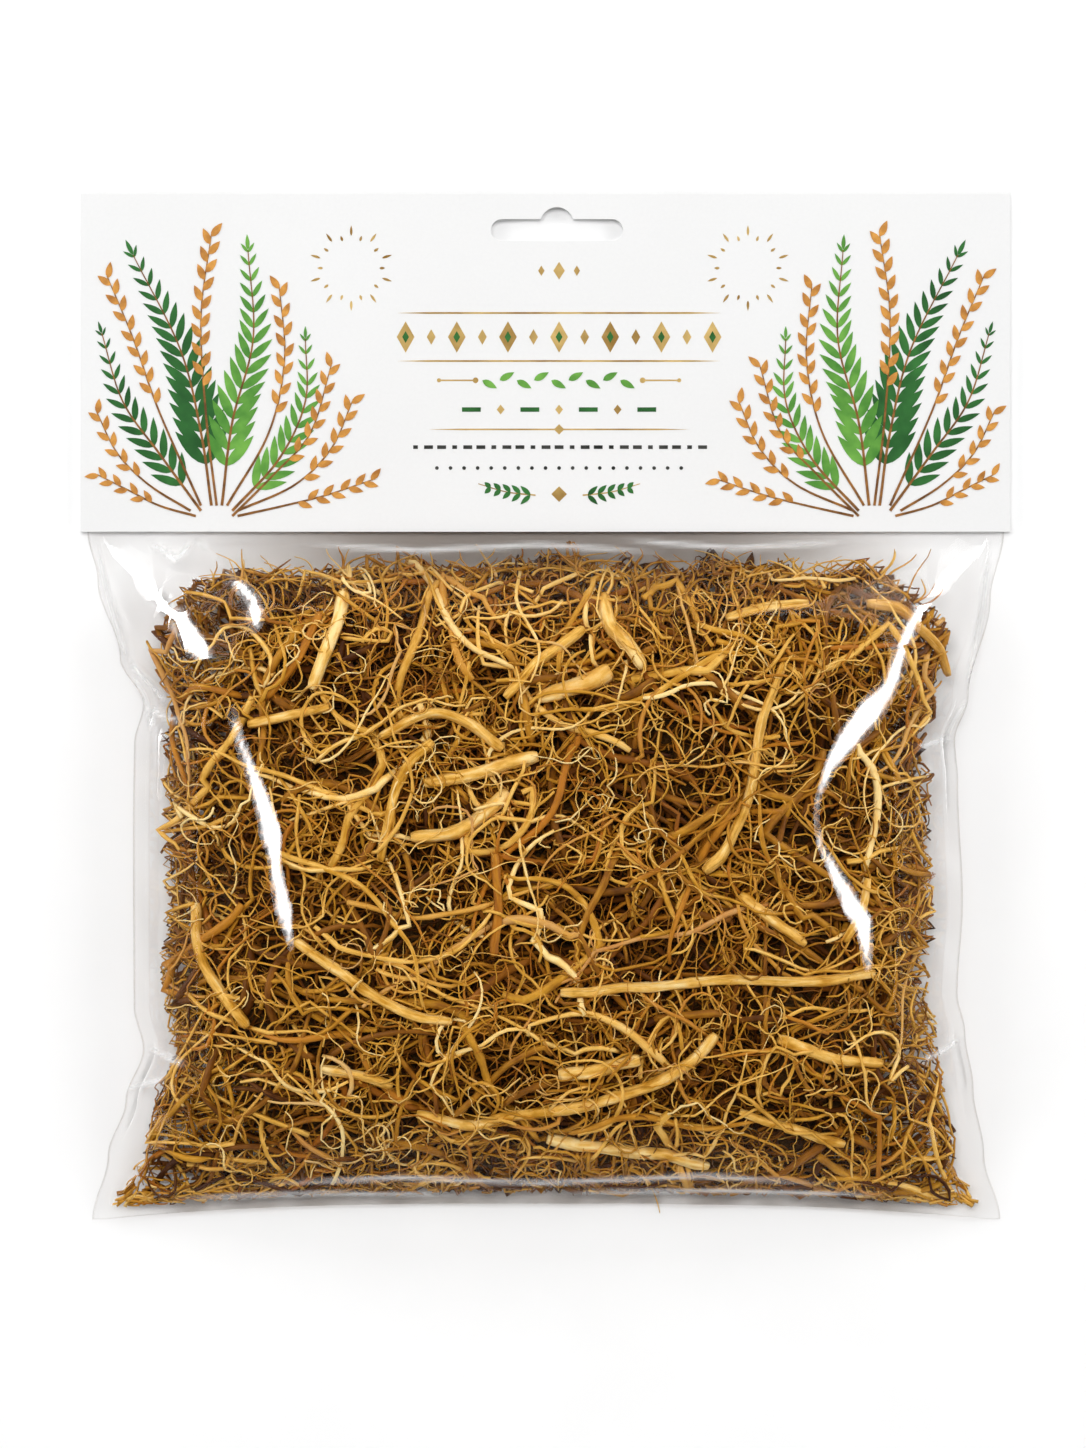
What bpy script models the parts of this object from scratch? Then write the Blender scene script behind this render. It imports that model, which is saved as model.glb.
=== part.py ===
"""A hanging retail packet of dried vetiver root, lying on its back.

A folded header card closes the mouth of a clear film bag. The bag holds a springy tangle of fine
roots, with thicker root pieces lying on the tangle just under the film.

Frame: metres, +Z up. +X runs along the card and +Y from the bag's bottom seal to the card's fold.
The origin is on the surface that the packet lies on, under the middle of its box.
"""

import math
import random

import bmesh
import bpy
from mathutils import Vector
from mathutils.bvhtree import BVHTree
from mathutils.kdtree import KDTree

MM = 0.001

# Packet and card
CARD_WIDTH = 178.0 * MM
CARD_HEIGHT = 65.7 * MM
PACKET_LENGTH = 197.4 * MM
CARD_SHEET = 0.40 * MM
CARD_CLEARANCE = 0.25 * MM
FOLD_STEPS = 6
FOLD_Y = PACKET_LENGTH / 2
CARD_EDGE_Y = FOLD_Y - CARD_HEIGHT

# Hang slot: a round-ended bar with a round rise above its middle
SLOT_X = 2.2 * MM
SLOT_WIDTH = 25.3 * MM
SLOT_HEIGHT = 4.2 * MM
SLOT_BELOW_FOLD = 10.0 * MM
SLOT_RISE_RADIUS = 3.25 * MM
SLOT_ARC_STEPS = 10

# Bag film, drawn thicker than life so that it is a sound solid
FILM = 0.25 * MM
SLIT = 0.25 * MM
WELD = 2.6 * MM
FLAP_LENGTH = 18.0 * MM
HALF_FLAP = FILM + SLIT / 2
CARD_THICKNESS = 2 * CARD_SHEET + 2 * CARD_CLEARANCE + 2 * HALF_FLAP
FLAP_Z = CARD_THICKNESS / 2
BAG_HEIGHT = 29.0 * MM
BAG_CORNER_Y = -PACKET_LENGTH / 2
BOTTOM_PULL_IN = 3.0 * MM
BAG_COLUMNS = 18
BAG_ROWS = 15
FLAP_ROWS = 2

# How far from each edge the bulge takes to reach its full height
TOP_SHOULDER = 34.0 * MM
BOTTOM_SHOULDER = 42.0 * MM

# How the bulge rounds off towards the side seams, the bottom seal and the card
SIDE_FULLNESS = 2.8
SIDE_ROUNDNESS = 0.62
BOTTOM_ROUNDNESS = 0.7
TOP_ROUNDNESS = 2.4
# The share of the full bulge at which the back comes down to the surface
BACK_DOWN_SHARE = 0.35

# The bag's side edges from the bottom corner to the card, as (y, distance from the middle line)
LEFT_EDGE = [(-98.7, 86.8), (-86.4, 83.8), (-75.8, 80.3), (-65.9, 76.9), (-58.0, 78.7),
             (-23.0, 78.8), (-7.5, 78.6), (0.0, 76.9), (8.8, 81.4), (23.6, 85.8), (33.0, 87.9)]
RIGHT_EDGE = [(-98.7, 87.1), (-86.4, 84.0), (-73.5, 81.8), (-62.8, 80.2), (-55.3, 78.7),
              (-37.6, 79.7), (-14.6, 78.8), (-6.9, 78.2), (1.3, 80.8), (20.0, 85.2), (33.0, 87.9)]
# Height of the seam between the two sheets above the surface, as (y, height)
SEAM_HEIGHT = [(-98.7, 2.2), (-62.0, 4.8), (-5.0, 4.8), (22.0, 2.6), (33.0, FLAP_Z / MM)]

# Root tangle: the clearance that every root keeps, and the core
ROOT_GAP = 0.35 * MM
CORE_DETAIL = 3
CORE_SHARE = 0.60
CORE_REACH_X = 0.90
CORE_REACH_Y = 0.92
CORE_SQUARENESS = 4.0
FILL_TOP_Y = CARD_EDGE_Y - 3.5 * MM
FILL_BOTTOM_Y = BAG_CORNER_Y + 5.5 * MM

# Fine roots, and how they bend at each step and turn back at the rim of the fill
FINE_SIDES = 3
FINE_POINTS = 8
FINE_STEP = 6.5 * MM
FINE_RADIUS = (0.60 * MM, 1.00 * MM)
FINE_TAPER = 0.4
FINE_POINTS_LEAST = 3
BEND_KEPT = 0.6
TURN_BACK = 0.5
TURN_BACK_TRIES = 12
SEED = 41

# Strands under the front and the back film. Where two values stand together, the first is at
# the bottom of the bag and the second is added towards the card.
FRONT_ROOTS = 78
BACK_ROOTS = 28
GOLDEN = 0.618034
FACE_ALONG = (0.08, 0.84)
FACE_START_REACH = 0.80
FACE_REACH = 0.93
FACE_HEADING = (0.35, 0.75)
FACE_TURN = (0.2, 0.3)
FACE_HUMPS = (1, 1, 2)
FACE_HUMP_END = 0.4
FACE_SINK = 1.2

# Strands round the rim, which fan out over the bag's whole depth
RIM_ROOTS = 40
RIM_START = 0.74
RIM_REACH = 0.97
RIM_HEADING = 0.7
RIM_TURN = 0.45
RIM_LEVEL = 0.75
RIM_FAN = 0.35

# How closely a strand is pressed clear of what it would touch, as shares of ROOT_GAP
SETTLE_STEPS = 4
GAP_KEPT = 0.7
GAP_SLACK = 0.3
# The least upright part of the film's normal that a height below it is worked out with
FILM_UPRIGHT_LEAST = 0.3

# Thick root pieces: (name, radius at the start, radius at the end, route seen from above) in mm
FRONT_PIECES = [
    ("pale_stick", 1.5, 1.2, [(-38.0, 21.0), (-38.8, 16.0), (-40.8, 10.5), (-43.7, 2.7)]),
    ("brown_strand", 0.8, 0.8, [(-42.6, 17.0), (-46.4, 8.4), (-52.4, 1.2)]),
    ("left_piece", 1.0, 0.8, [(-55.8, -4.0), (-48.1, -2.4), (-40.4, -0.8)]),
    ("arched_root", 0.8, 1.0, [(-30.8, -6.5), (-21.8, -1.9), (-14.5, -3.5), (-7.8, -8.3)]),
    ("grey_stick", 1.0, 0.9, [(-20.8, -7.3), (-25.6, -11.7), (-28.6, -18.4), (-30.4, -29.6)]),
    ("banded_stick", 1.1, 1.4, [(-22.6, -15.0), (-12.6, -13.2), (-1.5, -9.5)]),
    ("ribbed_stick", 1.2, 1.4, [(-25.1, -24.8), (-17.4, -24.0), (-10.7, -20.0), (-7.0, -16.4)]),
    ("slant_root", 1.0, 0.8, [(7.0, 14.2), (0.5, 9.2), (-7.8, 1.3)]),
    ("crown_stump", 1.2, 2.1, [(-1.5, 1.0), (5.5, 3.2), (12.0, 6.2)]),
    ("elbow_root", 1.2, 1.3, [(11.2, 20.5), (12.2, 15.5), (15.8, 10.8), (18.3, 6.6)]),
    ("upper_root", 0.9, 0.9, [(33.9, 16.0), (41.2, 18.2), (49.5, 19.0)]),
    ("hook_root", 1.0, 1.0, [(60.8, 18.8), (68.0, 17.4), (73.4, 12.2), (76.6, 5.6)]),
    ("right_runner", 0.8, 1.0, [(45.0, 7.7), (42.1, 0.8), (39.6, -7.3), (38.3, -16.5),
                                (34.8, -25.7), (29.7, -31.5)]),
    ("short_root", 1.1, 0.9, [(36.4, -35.7), (43.1, -41.2), (48.6, -45.2)]),
    ("curled_root", 0.9, 0.8, [(61.0, -33.0), (59.6, -39.0), (56.0, -44.6)]),
    ("upright_strand", 0.9, 0.8, [(-9.3, -28.0), (-8.7, -37.6), (-9.5, -47.2)]),
    ("level_root", 0.9, 1.0, [(2.8, -54.0), (18.1, -53.0), (33.5, -51.8), (48.9, -52.0),
                              (61.9, -50.7)]),
    ("side_root", 1.0, 1.0, [(-66.0, -37.6), (-64.4, -49.2), (-55.8, -60.6)]),
    ("left_runner", 1.1, 0.9, [(-47.1, -44.4), (-38.5, -50.1), (-27.9, -56.8), (-17.4, -59.1)]),
    ("low_strand", 0.9, 0.9, [(-42.4, -68.3), (-35.0, -69.4), (-28.6, -71.6)]),
    ("long_curve", 1.0, 1.2, [(-24.2, -77.0), (-14.1, -79.3), (-4.9, -77.2), (8.5, -74.9),
                              (20.1, -71.4), (27.7, -66.8), (32.0, -62.0)]),
    ("pale_stub", 1.4, 1.3, [(2.5, -69.8), (10.5, -68.6), (17.6, -66.4)]),
    ("right_root", 1.2, 1.0, [(43.6, -62.7), (53.6, -66.4), (63.4, -68.0)]),
    ("low_right", 0.8, 0.9, [(36.4, -77.0), (46.9, -80.2), (56.6, -83.2)]),
    ("long_pale_root", 1.2, 1.0, [(0.3, -82.4), (10.5, -83.7), (21.0, -85.4), (31.0, -87.6)]),
]
BACK_PIECES = [
    ("back_root_1", 1.1, 1.0, [(-52.0, 8.0), (-38.0, 3.0), (-24.0, 4.0), (-12.0, 10.0)]),
    ("back_root_2", 1.3, 1.0, [(14.0, 12.0), (26.0, 4.0), (40.0, 3.0), (54.0, -3.0)]),
    ("back_root_3", 0.9, 1.1, [(-58.0, -18.0), (-50.0, -30.0), (-38.0, -36.0)]),
    ("back_root_4", 1.2, 1.2, [(-16.0, -12.0), (-2.0, -18.0), (16.0, -15.0)]),
    ("back_root_5", 1.0, 0.9, [(30.0, -20.0), (42.0, -30.0), (58.0, -34.0)]),
    ("back_root_6", 1.1, 1.0, [(-28.0, -50.0), (-10.0, -44.0), (8.0, -47.0), (22.0, -42.0)]),
    ("back_root_7", 1.2, 1.0, [(-46.0, -62.0), (-30.0, -70.0), (-10.0, -72.0)]),
    ("back_root_8", 1.0, 1.0, [(20.0, -62.0), (36.0, -68.0), (52.0, -62.0)]),
]
PIECE_SIDES = 6
PIECE_STEP = 5.5 * MM
PIECE_RADIUS_MOST = 2.1 * MM
SAMPLE_STEP = 0.8 * MM


def clear_scene():
    for obj in list(bpy.data.objects):
        bpy.data.objects.remove(obj, do_unlink=True)


def material(name, color, roughness, alpha=1.0):
    made = bpy.data.materials.new(name)
    made.use_nodes = True
    shader = made.node_tree.nodes["Principled BSDF"]
    shader.inputs["Base Color"].default_value = (*color, 1.0)
    shader.inputs["Roughness"].default_value = roughness
    shader.inputs["Metallic"].default_value = 0.0
    shader.inputs["Alpha"].default_value = alpha
    return made


def mesh_object(name, points, faces, finish):
    mesh = bpy.data.meshes.new(name)
    mesh.from_pydata([tuple(p) for p in points], [], faces)
    mesh.materials.append(finish)
    obj = bpy.data.objects.new(name, mesh)
    bpy.context.scene.collection.objects.link(obj)
    return obj


def clamp01(value):
    return min(1.0, max(0.0, value))


def smoothstep(value):
    t = clamp01(value)
    return t * t * (3 - 2 * t)


def read_curve(table, y):
    """The value at y of a smooth curve through a table of (y, value) in millimetres."""
    y = y / MM
    if y <= table[0][0]:
        return table[0][1] * MM
    for (y0, v0), (y1, v1) in zip(table, table[1:]):
        if y <= y1:
            return (v0 + (v1 - v0) * smoothstep((y - y0) / (y1 - y0))) * MM
    return table[-1][1] * MM


# The film: every point of the bag is found from across (-1 left seam to 1 right seam) and y.

def cavity_edges(y):
    """x of the cavity's left and right edge, inside the welded side seams."""
    return -read_curve(LEFT_EDGE, y) + WELD, read_curve(RIGHT_EDGE, y) - WELD


def across_of(x, y):
    left, right = cavity_edges(y)
    return (2 * x - left - right) / (right - left)


def x_of(across, y):
    left, right = cavity_edges(y)
    return (left + right) / 2 + across * (right - left) / 2


def cavity_bottom(across):
    """y of the bottom seal's inner edge: the full bag pulls its middle in."""
    return BAG_CORNER_Y + WELD + BOTTOM_PULL_IN * (1 - clamp01(abs(across)) ** 3)


def bulge(across, y):
    """How full the bag is here, from 0 at a seam to 1 at the middle."""
    side = max(0.0, 1 - abs(across) ** SIDE_FULLNESS) ** SIDE_ROUNDNESS
    up = clamp01((y - cavity_bottom(across)) / BOTTOM_SHOULDER)
    down = clamp01((CARD_EDGE_Y - y) / TOP_SHOULDER)
    return side * (1 - (1 - up) ** 2) ** BOTTOM_ROUNDNESS * (1 - (1 - down) ** TOP_ROUNDNESS)


def front_z(across, y):
    seam = read_curve(SEAM_HEIGHT, y)
    return seam + HALF_FLAP + (BAG_HEIGHT - seam - HALF_FLAP) * bulge(across, y)


def back_z(across, y):
    seam = read_curve(SEAM_HEIGHT, y)
    return (seam - HALF_FLAP) * (1 - smoothstep(bulge(across, y) / BACK_DOWN_SHARE))


# What fills the bag is placed between these two inner heights.

def room(x, y):
    """Middle height and half height of the space for the roots at a place."""
    across = across_of(x, y)
    top = front_z(across, y) - FILM
    bottom = back_z(across, y) + FILM
    return (top + bottom) / 2, (top - bottom) / 2


def core_half_height(x, y):
    """Half height of the tangle's core, or 0 outside it."""
    _, half = room(x, y)
    middle_y = (FILL_TOP_Y + FILL_BOTTOM_Y) / 2
    along = (y - middle_y) / ((FILL_TOP_Y - FILL_BOTTOM_Y) / 2)
    left = 1 - abs(across_of(x, y) / CORE_REACH_X) ** CORE_SQUARENESS
    left -= abs(along / CORE_REACH_Y) ** CORE_SQUARENESS
    return half * CORE_SHARE * max(0.0, left) ** (1 / CORE_SQUARENESS)


# Header card

def card_profile():
    """Outline of the folded card in y and z: out along the back leaf, round the fold, back."""
    outer = CARD_THICKNESS / 2
    inner = outer - CARD_SHEET
    centre = FOLD_Y - outer
    angles = [math.pi * (i / FOLD_STEPS - 0.5) for i in range(FOLD_STEPS + 1)]
    points = [(CARD_EDGE_Y, 0.0)]
    points += [(centre + outer * math.cos(a), outer + outer * math.sin(a)) for a in angles]
    points += [(CARD_EDGE_Y, CARD_THICKNESS), (CARD_EDGE_Y, CARD_THICKNESS - CARD_SHEET)]
    points += [(centre + inner * math.cos(a), outer + inner * math.sin(a)) for a in reversed(angles)]
    points += [(CARD_EDGE_Y, CARD_SHEET)]
    return points


def prism(name, outline, start, end, place, finish):
    """A closed prism on an outline that runs anticlockwise as place() turns it towards start."""
    count = len(outline)
    points = [place(u, v, w) for w in (start, end) for u, v in outline]
    faces = [(i, (i + 1) % count, count + (i + 1) % count, count + i) for i in range(count)]
    faces += [tuple(reversed(range(count))), tuple(range(count, 2 * count))]
    obj = mesh_object(name, points, faces, finish)
    recalculate_normals(obj)
    return obj


def recalculate_normals(obj):
    shape = bmesh.new()
    shape.from_mesh(obj.data)
    bmesh.ops.recalc_face_normals(shape, faces=shape.faces)
    shape.to_mesh(obj.data)
    shape.free()


def slot_outline():
    """Bar with round ends and, over its middle, a round rise that shares its bottom line."""
    bottom = FOLD_Y - SLOT_BELOW_FOLD
    end = SLOT_HEIGHT / 2
    reach = SLOT_WIDTH / 2 - end
    rise_centre = bottom + SLOT_RISE_RADIUS
    meet = math.asin((SLOT_HEIGHT - SLOT_RISE_RADIUS) / SLOT_RISE_RADIUS)
    half_turn = [math.pi * i / SLOT_ARC_STEPS for i in range(SLOT_ARC_STEPS + 1)]
    right = [(SLOT_X + reach + end * math.sin(a), bottom + end - end * math.cos(a)) for a in half_turn]
    left = [(SLOT_X - reach - end * math.sin(a), bottom + end + end * math.cos(a)) for a in half_turn]
    sweep = [meet + (math.pi - 2 * meet) * i / SLOT_ARC_STEPS for i in range(SLOT_ARC_STEPS + 1)]
    rise = [
        (SLOT_X + SLOT_RISE_RADIUS * math.cos(a), rise_centre + SLOT_RISE_RADIUS * math.sin(a))
        for a in sweep
    ]
    return right + rise + left


def make_card(finish):
    card = prism(
        "header_card", card_profile(), -CARD_WIDTH / 2, CARD_WIDTH / 2,
        lambda y, z, x: (x, y, z), finish,
    )
    cutter = prism(
        "slot_cutter", slot_outline(), -CARD_THICKNESS, 2 * CARD_THICKNESS,
        lambda x, y, z: (x, y, z), finish,
    )
    cutter.hide_render = True
    cutter.display_type = "WIRE"
    cut = card.modifiers.new("hang_slot", "BOOLEAN")
    cut.object = cutter
    cut.operation = "DIFFERENCE"
    cut.solver = "EXACT"
    return card


# Bag

def bag_rows():
    """Shares along the cavity, closer together where the bag curves most, then the flap's."""
    return [0.5 - 0.5 * math.cos(math.pi * i / BAG_ROWS) for i in range(BAG_ROWS + 1)]


def make_bag(finish):
    """A closed shell: an outer skin and an inner one, joined at the open mouth inside the card."""
    columns = [math.sin(math.pi * (i / BAG_COLUMNS - 0.5)) for i in range(BAG_COLUMNS + 1)]
    flap = [CARD_EDGE_Y + FLAP_LENGTH * i / FLAP_ROWS for i in range(1, FLAP_ROWS + 1)]
    grid = []
    for share in bag_rows():
        row = []
        for across in columns:
            y = cavity_bottom(across) + share * (CARD_EDGE_Y - cavity_bottom(across))
            row.append((across, y))
        grid.append(row)
    grid += [[(across, y) for across in columns] for y in flap]

    points = []

    def add(x, y, z):
        points.append((x, y, z))
        return len(points) - 1

    def outer_loop(row, weld_row):
        """Vertex numbers of one turn of the outer skin, from the left weld over the front."""
        y_left, y_right = row[0][1], row[-1][1]
        drop = WELD if weld_row else 0.0
        left = -read_curve(LEFT_EDGE, y_left - drop)
        right = read_curve(RIGHT_EDGE, y_right - drop)
        seam_l = read_curve(SEAM_HEIGHT, y_left)
        seam_r = read_curve(SEAM_HEIGHT, y_right)
        front = [add(left, y_left - drop, seam_l + HALF_FLAP)]
        back = [add(left, y_left - drop, seam_l - HALF_FLAP)]
        for across, y in row:
            seam = read_curve(SEAM_HEIGHT, y)
            top = seam + HALF_FLAP if weld_row else front_z(across, y)
            low = seam - HALF_FLAP if weld_row else back_z(across, y)
            front.append(add(x_of(across, y), y - drop, top))
            back.append(add(x_of(across, y), y - drop, low))
        front.append(add(right, y_right - drop, seam_r + HALF_FLAP))
        back.append(add(right, y_right - drop, seam_r - HALF_FLAP))
        return front + back[::-1]

    def inner_loop(row, closed_row):
        """One turn of the inner skin, a film thickness inside the outer one."""
        front, back = [], []
        for number, (across, y) in enumerate(row):
            seam = read_curve(SEAM_HEIGHT, y)
            x = x_of(across, y)
            if closed_row or number in (0, len(row) - 1):
                shared = add(x, y, seam)
                front.append(shared)
                back.append(shared)
            else:
                front.append(add(x, y, front_z(across, y) - FILM))
                back.append(add(x, y, back_z(across, y) + FILM))
        return front, back

    faces = []

    def band(lower, upper, inward):
        count = len(lower)
        for i in range(count):
            j = (i + 1) % count
            quad = (lower[i], lower[j], upper[j], upper[i])
            for tri in ((quad[0], quad[1], quad[2]), (quad[0], quad[2], quad[3])):
                if len(set(tri)) == 3:
                    faces.append(tri[::-1] if inward else tri)

    loops = [outer_loop(grid[0], True)] + [outer_loop(row, False) for row in grid]
    for lower, upper in zip(loops, loops[1:]):
        band(lower, upper, False)
    half = len(loops[0]) // 2
    for i in range(half - 1):
        a, b = loops[0][i], loops[0][i + 1]
        c, d = loops[0][-2 - i], loops[0][-1 - i]
        faces.extend([(a, d, c), (a, c, b)])

    inner = [inner_loop(row, number == 0) for number, row in enumerate(grid)]
    for (front0, back0), (front1, back1) in zip(inner, inner[1:]):
        for lower, upper, inward in ((front0, front1, True), (back0, back1, False)):
            for i in range(len(lower) - 1):
                quad = (lower[i], lower[i + 1], upper[i + 1], upper[i])
                for tri in ((quad[0], quad[1], quad[2]), (quad[0], quad[2], quad[3])):
                    faces.append(tri[::-1] if inward else tri)

    mouth_outer = loops[-1]
    mouth_front, mouth_back = inner[-1]
    half = len(mouth_outer) // 2
    front_rim, back_rim = mouth_outer[:half], mouth_outer[half:][::-1]
    inside_front = [mouth_front[0]] + mouth_front + [mouth_front[-1]]
    inside_back = [mouth_back[0]] + mouth_back + [mouth_back[-1]]
    for rim, inside, flip in ((front_rim, inside_front, False), (back_rim, inside_back, True)):
        for i in range(half - 1):
            quad = (rim[i], rim[i + 1], inside[i + 1], inside[i])
            for tri in ((quad[0], quad[1], quad[2]), (quad[0], quad[2], quad[3])):
                if len(set(tri)) == 3:
                    faces.append(tri[::-1] if flip else tri)
    faces.append((front_rim[0], mouth_front[0], back_rim[0]))
    faces.append((front_rim[-1], back_rim[-1], mouth_front[-1]))

    bag = mesh_object("clear_bag", points, faces, finish)
    recalculate_normals(bag)
    bag.data.shade_smooth()
    return bag


# Roots

def tube(name, path, radii, sides, finish):
    """A closed tube along a path of points, with its own radius at each."""
    points, faces = [], []
    normal = Vector((0.0, 0.0, 1.0))
    for i, (centre, radius) in enumerate(zip(path, radii)):
        ahead = path[min(i + 1, len(path) - 1)] - path[max(i - 1, 0)]
        ahead.normalize()
        normal = (normal - ahead * normal.dot(ahead)).normalized()
        side = ahead.cross(normal)
        for k in range(sides):
            angle = 2 * math.pi * k / sides
            points.append(centre + (normal * math.cos(angle) + side * math.sin(angle)) * radius)
    for i in range(len(path) - 1):
        for k in range(sides):
            a, b = i * sides + k, i * sides + (k + 1) % sides
            faces.append((a, b, b + sides, a + sides))
    faces.append(tuple(reversed(range(sides))))
    faces.append(tuple(range(len(points) - sides, len(points))))
    obj = mesh_object(name, points, faces, finish)
    recalculate_normals(obj)
    return obj


def smooth_route(route, step):
    """Points about step apart on a smooth curve through the route, which is in millimetres."""
    knots = [Vector((x * MM, y * MM)) for x, y in route]
    knots = [2 * knots[0] - knots[1]] + knots + [2 * knots[-1] - knots[-2]]
    found = []
    for p0, p1, p2, p3 in zip(knots, knots[1:], knots[2:], knots[3:]):
        count = max(1, round((p2 - p1).length / step))
        for i in range(count):
            t = i / count
            found.append(
                0.5 * (2 * p1 + (p2 - p0) * t + (2 * p0 - 5 * p1 + 4 * p2 - p3) * t**2
                       + (3 * p1 - p0 - 3 * p2 + p3) * t**3)
            )
    return found + [knots[-2]]


class Film:
    """Finds the height of the film's inner face over or under a place, from the bag's mesh."""

    def __init__(self, bag):
        mesh = bag.data
        self.tree = BVHTree.FromPolygons(
            [v.co for v in mesh.vertices], [tuple(f.vertices) for f in mesh.polygons]
        )

    def limit(self, x, y, side, radius):
        """Height that a root's middle line may reach towards the front (1) or back (-1) film."""
        middle, _ = room(x, y)
        hit, normal, _, _ = self.tree.ray_cast(Vector((x, y, middle)), Vector((0, 0, side)))
        if hit is None:
            return middle
        return hit.z - side * (radius + ROOT_GAP) / max(FILM_UPRIGHT_LEAST, abs(normal.z))

    def distance(self, point):
        return self.tree.find_nearest(point)[3]


class Lying:
    """The thick pieces already laid against one face, as close points with a radius."""

    def __init__(self, side):
        self.side = side
        self.samples = []
        self.tree = None

    def add(self, path, radii):
        for a, b, r in zip(path, path[1:], radii):
            steps = max(1, round((b - a).length / SAMPLE_STEP))
            self.samples += [(a.lerp(b, i / steps), r) for i in range(steps + 1)]

    def close(self):
        self.tree = KDTree(len(self.samples))
        for i, (point, _) in enumerate(self.samples):
            self.tree.insert((point.x, point.y, 0.0), i)
        self.tree.balance()

    def limit(self, x, y, radius):
        """Height that a root's middle line may reach here without touching a thick piece."""
        reach = PIECE_RADIUS_MOST + radius + ROOT_GAP
        heights = []
        for _, i, distance in self.tree.find_range((x, y, 0.0), reach):
            point, thick = self.samples[i]
            if distance < thick + radius + ROOT_GAP:
                heights.append(point.z * self.side - thick - radius - ROOT_GAP)
        return self.side * min(heights) if heights else None


def thick_piece(film, name, radius_start, radius_end, route, side, finish):
    """One thick root piece, lying just under the film. Returns its centre points and radii."""
    plan = smooth_route(route, PIECE_STEP)
    last = len(plan) - 1
    radii = [(radius_start + (radius_end - radius_start) * i / last) * MM for i in range(last + 1)]
    path = [
        Vector((p.x, p.y, film.limit(p.x, p.y, side, radius))) for p, radius in zip(plan, radii)
    ]
    tube(name, path, radii, PIECE_SIDES, finish)
    return path, radii


def settle(path, radius, film, lying):
    """Presses a strand clear of the film and the thick pieces, and cuts it where it can't be."""
    for a, b in zip(path, path[1:]):
        for i in range(SETTLE_STEPS + 1):
            spot = a.lerp(b, i / SETTLE_STEPS)
            for side, pieces in lying.items():
                limit = film.limit(spot.x, spot.y, side, radius)
                under = pieces.limit(spot.x, spot.y, radius)
                if under is not None:
                    limit = side * min(side * limit, side * under)
                excess = side * (a.z + (b.z - a.z) * i / SETTLE_STEPS - limit)
                if excess > 0:
                    a.z -= side * excess
                    b.z -= side * excess
    for number, (a, b) in enumerate(zip(path, path[1:])):
        for i in range(SETTLE_STEPS + 1):
            spot = a.lerp(b, i / SETTLE_STEPS)
            free = film.distance(spot) > radius + ROOT_GAP * GAP_KEPT
            for side, pieces in lying.items():
                under = pieces.limit(spot.x, spot.y, radius)
                most = None if under is None else side * under + ROOT_GAP * GAP_SLACK
                free = free and (most is None or side * spot.z < most)
            if not free:
                return path[:number + 1] if i else path[:max(number, 1)]
    return path


def wander(rng, start, heading, count, turn, reach):
    """Points seen from above of a root that bends at every step and stays in the fill."""
    x, y = start
    found = [(x, y)]
    bend = rng.uniform(-turn, turn)
    for _ in range(count - 1):
        bend = BEND_KEPT * bend + rng.uniform(-turn, turn)
        heading += bend
        for _ in range(TURN_BACK_TRIES):
            nx = x + FINE_STEP * math.cos(heading)
            ny = y + FINE_STEP * math.sin(heading)
            if abs(across_of(nx, ny)) < reach and FILL_BOTTOM_Y < ny < FILL_TOP_Y:
                break
            heading += TURN_BACK
        else:
            break
        x, y = nx, ny
        found.append((x, y))
    return found


def finished_strand(name, path, radius, film, lying, finish):
    path = settle(path, radius, film, lying)
    if len(path) < FINE_POINTS_LEAST:
        return None
    radii = [radius * (1 - FINE_TAPER * i / FINE_POINTS) for i in range(len(path))]
    return tube(name, path, radii, FINE_SIDES, finish)


def face_root(rng, name, share, number, side, film, lying, finish):
    """A fine root that starts in the core and weaves in and out of it under one face.

    They lie mostly across the bag near its bottom and every way near the card.
    """
    along = FACE_ALONG[0] + FACE_ALONG[1] * share
    y = FILL_BOTTOM_Y + along * (FILL_TOP_Y - FILL_BOTTOM_Y)
    x = x_of(FACE_START_REACH * (2 * ((number * GOLDEN) % 1) - 1), y)
    heading = rng.gauss(0.0, FACE_HEADING[0] + FACE_HEADING[1] * share)
    heading += rng.choice((0.0, math.pi))
    turn = FACE_TURN[0] + FACE_TURN[1] * share
    plan = wander(rng, (x, y), heading, FINE_POINTS, turn, FACE_REACH)
    radius = rng.uniform(*FINE_RADIUS)
    humps = rng.choice(FACE_HUMPS)
    path = []
    for i, (px, py) in enumerate(plan):
        middle, _ = room(px, py)
        sunk = middle + side * max(0.0, core_half_height(px, py) - FACE_SINK * radius)
        top = film.limit(px, py, side, radius)
        lift = abs(math.sin(math.pi * humps * i / (FINE_POINTS - FACE_HUMP_END)))
        path.append(Vector((px, py, sunk + (top - sunk) * lift)))
    return finished_strand(name, path, radius, film, lying, finish)


def rim_root(rng, name, share, film, lying, finish):
    """A fine root that leaves the core's rim and ends near the bag's side or ends."""
    turn = 2 * math.pi * share
    across, along = math.cos(turn), math.sin(turn)
    square = max(abs(across), abs(along))
    middle_y = (FILL_TOP_Y + FILL_BOTTOM_Y) / 2
    y = middle_y + RIM_START * along / square * (FILL_TOP_Y - FILL_BOTTOM_Y) / 2
    x = x_of(RIM_START * across / square, y)
    heading = math.atan2(y - middle_y, x) + rng.uniform(-RIM_HEADING, RIM_HEADING)
    plan = wander(rng, (x, y), heading, FINE_POINTS - 1, RIM_TURN, RIM_REACH)
    radius = rng.uniform(*FINE_RADIUS)
    level = rng.uniform(-RIM_LEVEL, RIM_LEVEL)
    path = []
    for i, (px, py) in enumerate(plan):
        middle, half = room(px, py)
        spare = max(0.0, half - radius - 2 * ROOT_GAP)
        path.append(Vector((px, py, middle + level * min(1.0, RIM_FAN * i) * spare)))
    return finished_strand(name, path, radius, film, lying, finish)


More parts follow.
